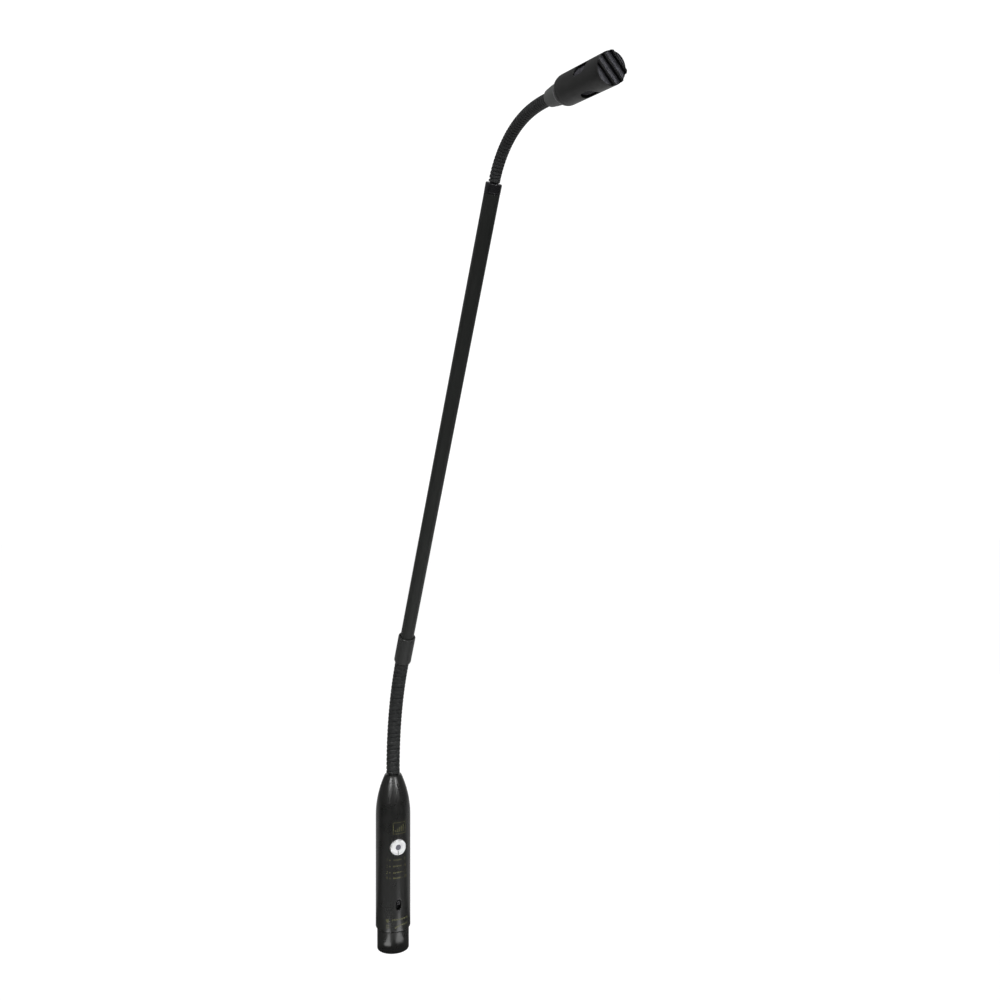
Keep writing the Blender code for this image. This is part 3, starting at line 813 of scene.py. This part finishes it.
def make_print():
    """The faded print: a plain level sign over the dial, numbered steps under it, and two plain curves
    for the slide switch."""
    line = 0.75 * MM
    sign_height, aside, foot = 75.0 * MM, 0.6 * MM, -2.1 * MM
    marks = rectangle(aside, 3.9 * MM, 3.3 * MM, sign_height)
    for step in range(5):
        x = aside + (-2.0 + step) * 1.25 * MM
        top = foot + (1.2 + 0.75 * step) * MM
        marks.append(wrapped(stroke((x, foot), (x, top), line), sign_height))
    for number, (height, value) in enumerate(PRINTED_STEPS, start=1):
        z = height * MM
        place = Matrix.Translation((-7.0 * MM, 0, 0))
        marks.append(wrapped(moved(digits(str(number), 2.5 * MM), place), z))
        marks.append(wrapped(stroke((-5.7 * MM, 0), (-4.9 * MM, 0), 0.8 * MM), z))
        marks.append(wrapped(stroke((-3.3 * MM, 0), (1.7 * MM, 0), line), z))
        marks.append(wrapped(moved(digits(value, 2.5 * MM), Matrix.Translation((4.1 * MM, 0, 0))), z))
    for height, filled in ((20.2, True), (16.7, False)):
        z = height * MM
        key, size = -6.7 * MM, 0.75 * MM
        marks += rectangle(key, size, size, z)
        if filled:
            marks.append(wrapped(stroke((key - size, 0), (key + size, 0), 1.2 * MM), z))
        bend = -1.4 * MM if filled else 0.9 * MM
        marks.append(wrapped(stroke((bend, 0.5 * MM), (6.6 * MM, 0.5 * MM), line), z))
        drop = (-3.9 * MM, 0.5 * MM) if filled else (-2.4 * MM, -0.9 * MM)
        marks.append(wrapped(stroke(drop, (bend, 0.5 * MM), line), z))
    piece("base_print", joined("print", marks), "gold_print", "base")


def make_dial():
    place = Matrix.Translation((0, 0, DIAL_HEIGHT)) @ FACING
    bore = SHAFT_RADIUS + 0.08 * MM
    back = DIAL_FACE - DIAL_THICKNESS
    profile = [(bore, back), (bore, DIAL_FACE, 0.1 * MM)]
    profile += [(DIAL_RADIUS, DIAL_FACE, 0.55 * MM), (DIAL_RADIUS, back)]
    mesh = turned_mesh("dial", rounded(profile, 6), 128)
    groove_size = (0.7 * MM, 2.7 * MM, 0.3 * MM)
    spot = Matrix.Translation((0, -3.55 * MM, DIAL_FACE))
    groove = moved(box_mesh("groove", groove_size), spot)
    piece("dial", carved(mesh, [groove]), "white_plastic", "level_dial", "level_dial", place=place)
    fill = box_mesh("pointer", (0.66 * MM, 2.66 * MM, 0.12 * MM), 0.04 * MM)
    lowered = Matrix.Translation((0, 0, -0.09 * MM))
    piece("dial_pointer", moved(fill, lowered @ spot), "pointer_grey", "level_dial", place=place)
    top = DIAL_FACE - 0.15 * MM
    profile = rounded([(0, top), (SHAFT_RADIUS, top, 0.15 * MM), (SHAFT_RADIUS, 5.7 * MM), (0, 5.7 * MM)])
    slot_place = Matrix.Translation((0, 0, DIAL_FACE)) @ Matrix.Rotation(SHAFT_TURN, 4, "Z")
    slot = moved(box_mesh("slot", (0.75 * MM, 4 * MM, 1.0 * MM)), slot_place)
    shaft = carved(turned_mesh("shaft", profile, 64), [slot])
    piece("dial_shaft", shaft, "shaft_grey", "level_dial", "level_shaft", place=place)


def make_lever():
    """The slide switch's lever, with three small grip ridges across its end."""
    width, length, tall = LEVER_SIZE
    centre = Vector((0, -BASE_RADIUS - 0.2 * MM + length / 2, SWITCH_HEIGHT + LEVER_TRAVEL / 2))
    parts = [box_mesh("lever", (width, length - 0.25 * MM, tall), 0.25 * MM)]
    moved(parts[0], Matrix.Translation((0, 0.12 * MM, 0)))
    for step in (-1, 0, 1):
        ridge = box_mesh("ridge", (width - 0.3 * MM, 0.6 * MM, 0.34 * MM), 0.1 * MM)
        parts.append(moved(ridge, Matrix.Translation((0, -length / 2 + 0.3 * MM, step * 0.62 * MM))))
    mesh, place = joined("lever", parts), Matrix.Translation(centre)
    piece("switch_lever", mesh, "dark_plastic", "low_cut_lever", "low_cut_lever", place=place)


# Goosenecks


def ball_radius(neck):
    return neck.radius * 0.74


def turned_along(name, neck, profile, sides):
    """A solid turned about a neck's bent centre line. Past the ends of the neck, the line is straight."""
    verts, rings = [], []
    for radius, height in profile:
        first = len(verts)
        inside = min(max(height, 0), neck.length)
        place = neck.at(inside) @ Matrix.Translation((0, 0, height - inside))
        count = 1 if radius == 0.0 else sides
        for k in range(count):
            angle = 2 * math.pi * k / sides
            verts.append(place @ Vector((radius * math.cos(angle), radius * math.sin(angle), 0)))
        rings.append(list(range(first, first + count)))
    return mesh_of(name, verts, grid_faces(rings))


def core_mesh(neck, low, high, socket, ball_at):
    """The tube under a link's wire, with a socket for the ball below it and a ball at its own top."""
    body = neck.radius - neck.depth - 0.05 * MM
    slim = body - 0.25 * MM
    ball = ball_radius(neck)
    taper = 1.5 * MM
    profile = []
    steps = 10
    for step in range(steps + 1):
        height = ball_at + ball * math.cos(math.pi * step / (2 * steps))
        profile.append((math.sqrt(max(ball**2 - (height - ball_at) ** 2, 0.0)), height))
    low_angle = math.acos(min((ball_at - high + 0.02 * MM) / ball, 1.0))
    profile.append((ball * math.sin(low_angle), high + 0.01 * MM))
    profile += [(slim, high), (slim, high - taper), (body, high - taper - 0.2 * MM)]
    profile += [(body, low + taper + 0.2 * MM), (slim, low + taper), (slim, low)]
    profile += [(ball + 0.08 * MM, low), (ball + 0.08 * MM, low + socket), (0.0, low + socket)]
    profile[0] = (0.0, profile[0][1])
    return turned_along("core", neck, profile, 40)


def wire_mesh(neck, first_turn, last_turn, low, high, per_turn=40):
    """One link's stretch of the wound wire. It reaches into the core where the core is its own, and
    stands clear of the neighbour's core where it overhangs it."""
    half = (neck.pitch - neck.groove) / 2
    base = neck.radius - neck.depth
    taper = 1.8 * MM
    shoulder = 0.04 * MM
    count = max(8, round((last_turn - first_turn) * per_turn))
    arc = 8
    loops = []
    for step in range(count + 1):
        turn = first_turn + (last_turn - first_turn) * step / count
        middle = neck.pitch * turn
        own = low + taper < middle - half and middle + half < high - taper
        under = base - (0.15 * MM if own else 0.0)
        end = min(step, count - step)
        crest = neck.depth * (0.55 + 0.45 * min(end / 2.0, 1.0))
        section = [(under, -half)]
        for k in range(arc + 1):
            angle = math.pi * k / arc
            rise = (crest - shoulder) * math.sin(angle) ** 0.75
            section.append((base + shoulder + rise, -half * math.cos(angle)))
        section.append((under, half))
        angle = 2 * math.pi * turn
        loop = []
        for radius, along in section:
            place = neck.at(middle + along)
            loop.append(place @ Vector((radius * math.cos(angle), radius * math.sin(angle), 0)))
        loops.append(loop)
    return lofted_mesh("wire", loops, sharp=50.0)


def ring_mesh(neck, low, high):
    """The ground-flat end of the winding, as a ring."""
    outer, inner = neck.radius, neck.radius - neck.depth - 0.3 * MM
    edge = 0.3 * MM
    profile = rounded([(outer, high, edge), (outer, low, edge), (inner, low), (inner, high)], 4)
    return turned_along("ring", neck, profile, 64)


def make_neck(neck):
    links = len(neck.ways) - 1
    end_gap = 0.3 * MM  # between a link's tube and the plane of its hinge
    wire_gap = 0.13 * MM / (2 * math.pi * neck.radius)  # turns left out at each cut of the wire
    half = (neck.pitch - neck.groove) / 2
    for number in range(links):
        first, last = number == 0, number == links - 1
        low = neck.first_gap if first else neck.hinge(number) + end_gap
        high = neck.hinge(number + 1) - (neck.gap / 2 if last else end_gap)
        start = (low + half + 0.1 * MM) / neck.pitch if first else neck.cut_turn(number) + wire_gap
        end = (high - half - 0.1 * MM) / neck.pitch if last else neck.cut_turn(number + 1) - wire_gap
        socket = ball_radius(neck) + 0.5 * MM
        parts = [core_mesh(neck, low, high, socket, neck.hinge(number + 1))]
        parts.append(wire_mesh(neck, start, end, low, high))
        ring = 1.3 * MM if neck.kind == "lower" else 0.9 * MM
        if first:
            parts.append(ring_mesh(neck, low, low + ring))
        if last:
            parts.append(ring_mesh(neck, high - ring, high))
        name, kind = f"{neck.kind}_gooseneck_{number + 1}", neck.kind
        body, node = f"{kind}_link_{number + 1}", f"{kind}_neck_link_{number + 1}"
        # The upper neck's look carries painted light: it is coloured lighter than the lower neck's same
        # wire.
        piece(name, joined(name, parts, sharp=50.0), f"{kind}_wire", body, node)


def root_ball_mesh(neck, foot):
    """The ball at the root of a neck, on a post from foot up, about local Z."""
    ball = ball_radius(neck)
    profile = [(0.0, ball)]
    for step in range(1, 12):
        angle = math.pi * step / 14
        profile.append((ball * math.sin(angle), ball * math.cos(angle)))
    profile += [(profile[-1][0], foot), (0.0, foot)]
    return turned_mesh("root_ball", profile, 48)


# Collar, stem and ferrule


def make_stem():
    low = LOWER.gap / 2
    socket = ball_radius(LOWER) + 0.15 * MM
    seat = STEM_RADIUS + CLEARANCE
    seat_low = COLLAR_LENGTH - STEM_INSERTION
    profile = [(seat, COLLAR_LENGTH, 0.15 * MM), (COLLAR_RADIUS, COLLAR_LENGTH, 0.5 * MM)]
    lead_bore, deep = 1.4 * MM, low + 3.2 * MM
    profile += [(COLLAR_RADIUS, low, 0.9 * MM), (socket, low), (socket, deep), (lead_bore, deep)]
    profile += [(lead_bore, seat_low - CLEARANCE), (seat, seat_low - CLEARANCE)]
    mesh = turned_mesh("collar", rounded(profile, 7), 128)
    piece("collar", mesh, "black_satin", "stem", "centre_collar", place=STEM_PLACE)
    bore = STEM_RADIUS - STEM_WALL
    ferrule_low = STEM_END - FERRULE_LENGTH
    top = ferrule_low - 0.1 * MM
    profile = [(bore, top), (STEM_RADIUS, top, 0.12 * MM)]
    steps = 16
    profile += [(STEM_RADIUS, top - (top - seat_low) * step / steps) for step in range(1, steps)]
    profile += [(STEM_RADIUS, seat_low), (bore, seat_low)]
    mesh = turned_mesh("stem", rounded(profile), 128)
    piece("stem", mesh, "stem_paint", "stem", "stem_tube", place=STEM_PLACE)
    make_ferrule(bore, ferrule_low)


def make_ferrule(bore, low):
    high = STEM_END - UPPER.gap / 2
    spigot = bore - CLEARANCE
    groove = low + 0.75 * MM
    side, edge, foot = 0.18 * MM, 0.06 * MM, low - 9.0 * MM
    profile = [(0, high), (FERRULE_RADIUS, high, 0.55 * MM), (FERRULE_RADIUS, groove + side, edge)]
    profile += [(FERRULE_RADIUS - 0.16 * MM, groove), (FERRULE_RADIUS, groove - side, edge)]
    profile += [(FERRULE_RADIUS, low, 0.15 * MM), (spigot, low), (spigot, foot), (0, foot)]
    ball = moved(root_ball_mesh(UPPER, -2.0 * MM), Matrix.Translation((0, 0, STEM_END)))
    mesh = joined("ferrule", [turned_mesh("ferrule", rounded(profile), 128), ball])
    piece("ferrule", mesh, "ferrule_black", "stem", "stem_ferrule", "upper_neck_lead", place=STEM_PLACE)


# Head


def make_boot():
    low = UPPER.gap / 2
    socket = ball_radius(UPPER) + 0.12 * MM
    anchors = [(4.56, 10.3), (4.50, 9.2), (4.35, 7.0), (4.18, 4.9), (4.0, 3.4), (3.86, 2.2), (3.75, 1.3)]
    flange = [(4.72 * MM, BOOT_END, 0.2 * MM), (4.70 * MM, 10.42 * MM, 0.12 * MM)]
    outer = flange + smooth_profile([(radius * MM, height * MM) for radius, height in anchors], 5)
    lead_bore, deep, stud_low = 1.3 * MM, low + 2.1 * MM, 2.5 * MM
    tail = [(3.68 * MM, low, 0.85 * MM), (socket, low), (socket, deep), (lead_bore, deep)]
    inner = [(lead_bore, stud_low), (STUD_BORE, stud_low), (STUD_BORE, BOOT_END)]
    mesh = turned_mesh("boot", rounded(outer + tail + inner), 96)
    piece("boot", mesh, "grey_rubber", "head", "head_boot", place=HEAD_PLACE)


def smooth_profile(anchors, steps):
    """A smooth curve through the anchor points."""
    padded = [anchors[0], *anchors, anchors[-1]]
    points = []
    for index in range(1, len(padded) - 2):
        a, b, c, d = (Vector(padded[index + k]) for k in (-1, 0, 1, 2))
        for step in range(steps):
            t = step / steps
            square, cube = 2 * a - 5 * b + 4 * c - d, 3 * b - a - 3 * c + d
            points.append(tuple(0.5 * (2 * b + (c - a) * t + square * t**2 + cube * t**3)))
    return points + [anchors[-1]]


def make_rear_cap():
    bore = HEAD_RADIUS - HEAD_WALL
    spigot = bore - CLEARANCE
    seam = SHOULDER_END + 0.18 * MM
    profile = [(spigot, 18.0 * MM), (spigot, seam), (HEAD_RADIUS, seam, 0.08 * MM)]
    steps = 12
    for step in range(steps + 1):
        angle = math.pi / 2 * step / steps
        radius = SHOULDER_RADIUS + (HEAD_RADIUS - SHOULDER_RADIUS) * math.cos(angle)
        profile.append((radius, SHOULDER_END - (SHOULDER_END - SHOULDER_START) * math.sin(angle)))
    profile += [(STUD_BORE, SHOULDER_START), (STUD_BORE, 18.0 * MM)]
    mesh = turned_mesh("cap", rounded(profile), 128)
    piece("rear_cap", mesh, "black_satin", "head", "head_rear_cap", place=HEAD_PLACE)


def make_sleeve():
    bore = HEAD_RADIUS - HEAD_WALL
    start = SHOULDER_END + CLEARANCE
    seat = MESH_RADIUS + 0.05 * MM
    ledge = RIM - 0.62 * MM
    profile = [(bore, ledge), (seat, ledge), (seat, RIM, 0.04 * MM), (HEAD_RADIUS, RIM, 0.12 * MM)]
    profile += [(HEAD_RADIUS, height * MM) for height in (42.0, 37.0, 30.0, 23.0, 18.0)]
    profile += [(HEAD_RADIUS, start, 0.08 * MM), (bore, start)]
    sleeve = turned_mesh("sleeve", rounded(profile), 144)
    cutters = []
    for degrees in PORT_ANGLES:
        place = on_side(degrees, PORT_CENTRE)
        cutters.append(lip_cutter(oblong_outline(*PORT_SIZE), HEAD_RADIUS, 0.22 * MM, 3.0 * MM, place))
    piece("sleeve", carved(sleeve, cutters), "black_satin", "head", "head_sleeve", place=HEAD_PLACE)
    ribs = [rib_mesh(RIB_OFFSET + step * RIB_PITCH) for step in (-1, 0, 1)]
    turned = moved(joined("ribs", ribs), Matrix.Rotation(RIB_TURN, 4, "Z"))
    # The ribs carry painted shade: their look is far darker than the sleeve's satin coat.
    piece("front_ribs", turned, "rib_black", "head", place=HEAD_PLACE)


def rib_mesh(offset):
    """A bar across the front, from the rim forward, with rounded edges and ends flush with the sleeve."""
    edge = 0.22 * MM
    foot = RIM - 0.15 * MM
    steps = 5
    levels = [(0.0, foot), (0.0, HEAD_END - edge)]
    for step in range(1, steps + 1):
        angle = math.pi / 2 * step / steps
        levels.append((edge * (1 - math.cos(angle)), HEAD_END - edge * (1 - math.sin(angle))))
    loops = []
    for inset, height in levels:
        radius = HEAD_RADIUS - 0.005 * MM - inset
        low, high = offset - RIB_WIDTH / 2 + inset, offset + RIB_WIDTH / 2 - inset
        loop = []
        for side in (1, -1):
            first, last = (low, high) if side > 0 else (high, low)
            for k in range(9):
                y = first + (last - first) * k / 8
                loop.append((side * math.sqrt(radius**2 - y**2), y, height))
        loops.append(loop)
    return lofted_mesh("rib", loops)


def cloth_wire(points, radius):
    """One wire of a woven cloth, along a path."""
    return lofted_mesh("wire", tube_loops(points, radius, 5), sharp=70.0)


def make_front_mesh():
    """Woven wire cloth behind the ribs."""
    pitch, lift, thick = 0.34 * MM, 0.085 * MM, 0.095 * MM
    radius = MESH_RADIUS - thick
    height = RIM - 0.33 * MM
    wires = []
    reach = int(radius / pitch)
    for along in (0, 1):
        for number in range(-reach, reach + 1):
            offset = number * pitch
            half = math.sqrt(radius**2 - offset**2)
            count = max(2, round(2 * half / (pitch / 2)))
            points = []
            for step in range(count + 1):
                way = -half + 2 * half * step / count
                rise = lift * math.cos(math.pi * (way / pitch + number)) * (1 if along else -1)
                point = (offset, way) if along else (way, offset)
                points.append(Vector((*point, height + rise)))
            wires.append(cloth_wire(points, thick))
    back, front = RIM - 0.55 * MM, RIM - 0.40 * MM
    profile = [(0, front), (MESH_RADIUS, front), (MESH_RADIUS, back), (0, back)]
    wires.append(turned_mesh("backing", profile, 96))
    place = HEAD_PLACE @ Matrix.Rotation(RIB_TURN + math.radians(45), 4, "Z")
    piece("front_grille", joined("grille", wires, 70.0), "mesh_grey", "head", "front_mesh", place=place)


def make_gauze():
    """The same cloth rolled into a tube behind the ports."""
    lift, thick = 0.10 * MM, 0.12 * MM
    radius = HEAD_RADIUS - HEAD_WALL - CLEARANCE - 0.2 * MM
    count = 52
    pitch = 2 * math.pi * radius / count
    half = PORT_SIZE[0] / 2 + 0.4 * MM
    rows = int(half / pitch)
    wires = []
    for row in range(-rows, rows + 1):
        points = []
        for step in range(2 * count + 1):
            angle = math.pi * step / count
            out = radius + lift * math.cos(math.pi * (step / 2 + row))
            along = PORT_CENTRE + row * pitch
            points.append(Vector((out * math.cos(angle), out * math.sin(angle), along)))
        wires.append(cloth_wire(points, thick))
    for column in range(count):
        angle = 2 * math.pi * column / count
        points = []
        for step in range(4 * rows + 3):
            row = (step - 1) / 2 - rows
            out = radius - lift * math.cos(math.pi * (row + column))
            along = PORT_CENTRE + row * pitch
            points.append(Vector((out * math.cos(angle), out * math.sin(angle), along)))
        wires.append(cloth_wire(points, thick))
    piece("port_cloth", joined("cloth", wires, 70.0), "mesh_grey", "head", "port_gauze", place=HEAD_PLACE)


# CAD nodes that stay


KEPT = {
    "preamp_board": "board_green", "level_switch": "dark_plastic", "low_cut_switch": "dark_plastic",
    "amplifier_chip": "dark_plastic", "coupling_capacitor": "silver", "neck_gland": "silver",
    "base_lead": "lead_black", "connector_lead_1": "lead_black", "connector_lead_2": "lead_black",
    "connector_lead_3": "lead_black", "stem_lead": "lead_black", "head_lead": "lead_black",
    "neck_stud": "brass", "wind_foam": "foam_grey", "capsule_case": "brass", "diaphragm": "silver",
    "backplate": "brass", "capsule_circuit": "board_green", "shock_ring_1": "black_rubber",
    "shock_ring_2": "black_rubber",
}


def finish_kept_nodes():
    for name, look in KEPT.items():
        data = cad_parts[name].data
        data.materials.clear()
        data.materials.append(LOOKS[look].material)


# Stage


CAMERA_TURN = math.radians(-25.2)
CAMERA_LENS = 34.2  # mm, on a sensor 36 mm wide
CAMERA_RIGHT, CAMERA_BACK, CAMERA_HEIGHT = 0.06470, 0.5748, 0.2703
WORLD_LIGHT, WORLD_SEEN = 0.22, 1.1  # on the object, and as the camera sees it
FLOOR_GREY, FLOOR_GLOW = 0.18, 0.97
RIGHT = Vector((math.cos(CAMERA_TURN), math.sin(CAMERA_TURN), 0.0))
TOWARD = Vector((math.sin(CAMERA_TURN), -math.cos(CAMERA_TURN), 0.0))
UP = Vector((0.0, 0.0, 1.0))


def make_camera():
    data = bpy.data.cameras.new("camera")
    data.sensor_width = 36.0
    data.lens = CAMERA_LENS
    data.clip_start = 0.01
    camera = bpy.data.objects.new("camera", data)
    bpy.context.scene.collection.objects.link(camera)
    camera.rotation_euler = (math.pi / 2, 0.0, CAMERA_TURN)
    camera.location = RIGHT * CAMERA_RIGHT + TOWARD * CAMERA_BACK + UP * CAMERA_HEIGHT
    bpy.context.scene.camera = camera


def softbox(name, turn, distance, height, size, power, aim=0.15, spread=180.0):
    """An area light: turn is its angle to the right of the camera's side, seen from the object."""
    data = bpy.data.lights.new(name, "AREA")
    data.shape = "RECTANGLE"
    data.size, data.size_y = size
    data.energy = power
    data.spread = math.radians(spread)
    light = bpy.data.objects.new(name, data)
    bpy.context.scene.collection.objects.link(light)
    angle = math.radians(turn)
    light.location = (TOWARD * math.cos(angle) + RIGHT * math.sin(angle)) * distance + UP * height
    ahead = UP * aim - light.location
    light.rotation_euler = ahead.to_track_quat("-Z", "Y").to_euler()
    light.visible_camera = False
    return light


def floor_card(name, turn, near, far, width, power):
    """A narrow glowing card lying by the base, which only its paint reflects."""
    light = softbox(name, turn, (near + far) / 2, 0.004, (width, far - near), power)
    light.rotation_euler = (math.pi, 0.0, math.radians(turn) + CAMERA_TURN)


def make_lights():
    softbox("front_box", 10.0, 1.2, 0.9, (1.0, 0.7), 2.8, aim=0.1)
    softbox("right_strip", 38.0, 0.8, 0.52, (0.12, 0.36), 0.16, aim=0.09, spread=40.0)
    softbox("left_strip", -20.0, 0.8, 0.52, (0.12, 0.36), 0.16, aim=0.09, spread=40.0)
    softbox("backdrop", 180.0, 0.9, 0.45, (1.7, 1.2), 3.2, aim=0.45)
    floor_card("back_card", 180.0, 0.03, 0.9, 1.2, 1.3)
    floor_card("right_card", 43.0, 0.015, 0.13, 0.014, 0.018)
    floor_card("left_card", -19.0, 0.011, 0.040, 0.007, 0.0024)
    floor_card("front_card", 8.0, 0.02, 0.17, 0.3, 0.045)


def make_world():
    world = bpy.data.worlds.new("studio")
    world.use_nodes = True
    nodes, links = world.node_tree.nodes, world.node_tree.links
    background = nodes["Background"]
    background.inputs["Color"].default_value = (1.0, 1.0, 1.0, 1.0)
    paths = nodes.new("ShaderNodeLightPath")
    levels = nodes.new("ShaderNodeMapRange")
    levels.inputs["To Min"].default_value = WORLD_LIGHT
    levels.inputs["To Max"].default_value = WORLD_SEEN
    links.new(paths.outputs["Is Camera Ray"], levels.inputs["Value"])
    links.new(levels.outputs["Result"], background.inputs["Strength"])
    bpy.context.scene.world = world
    bpy.context.scene.view_settings.view_transform = "Standard"


def make_floor():
    """A very pale floor that reads as white from the camera, with a trace of contact shadow."""
    material = bpy.data.materials.new("floor_white")
    material.use_nodes = True
    nodes, links = material.node_tree.nodes, material.node_tree.links
    shader = nodes["Principled BSDF"]
    shader.inputs["Base Color"].default_value = (*(FLOOR_GREY,) * 3, 1.0)
    shader.inputs["Roughness"].default_value = 0.9
    shader.inputs["Specular IOR Level"].default_value = 0.0
    shader.inputs["Emission Color"].default_value = (1.0, 1.0, 1.0, 1.0)
    paths = nodes.new("ShaderNodeLightPath")
    glow = nodes.new("ShaderNodeMath")
    glow.operation = "MULTIPLY"
    glow.inputs[1].default_value = FLOOR_GLOW
    links.new(paths.outputs["Is Camera Ray"], glow.inputs[0])
    links.new(glow.outputs[0], shader.inputs["Emission Strength"])
    side, drop = 6.0, -0.2 * MM
    corners = [(-side, -side, drop), (side, -side, drop), (side, side, drop), (-side, side, drop)]
    mesh = bpy.data.meshes.new("floor")
    mesh.from_pydata(corners, [], [(0, 1, 2, 3)])
    floor = bpy.data.objects.new("floor", mesh)
    mesh.materials.append(material)
    bpy.context.scene.collection.objects.link(floor)


def main():
    make_camera()
    make_world()
    make_floor()
    make_lights()
    make_housing()
    make_plug()
    make_print()
    make_dial()
    make_lever()
    root = moved(root_ball_mesh(LOWER, -1.5 * MM), Matrix.Translation((0, 0, BASE_HEIGHT)))
    piece("neck_root", root, "lower_wire", "base", "lower_neck_lead")
    make_neck(LOWER)
    make_stem()
    make_neck(UPPER)
    make_boot()
    make_rear_cap()
    make_sleeve()
    make_front_mesh()
    make_gauze()
    finish_kept_nodes()


main()
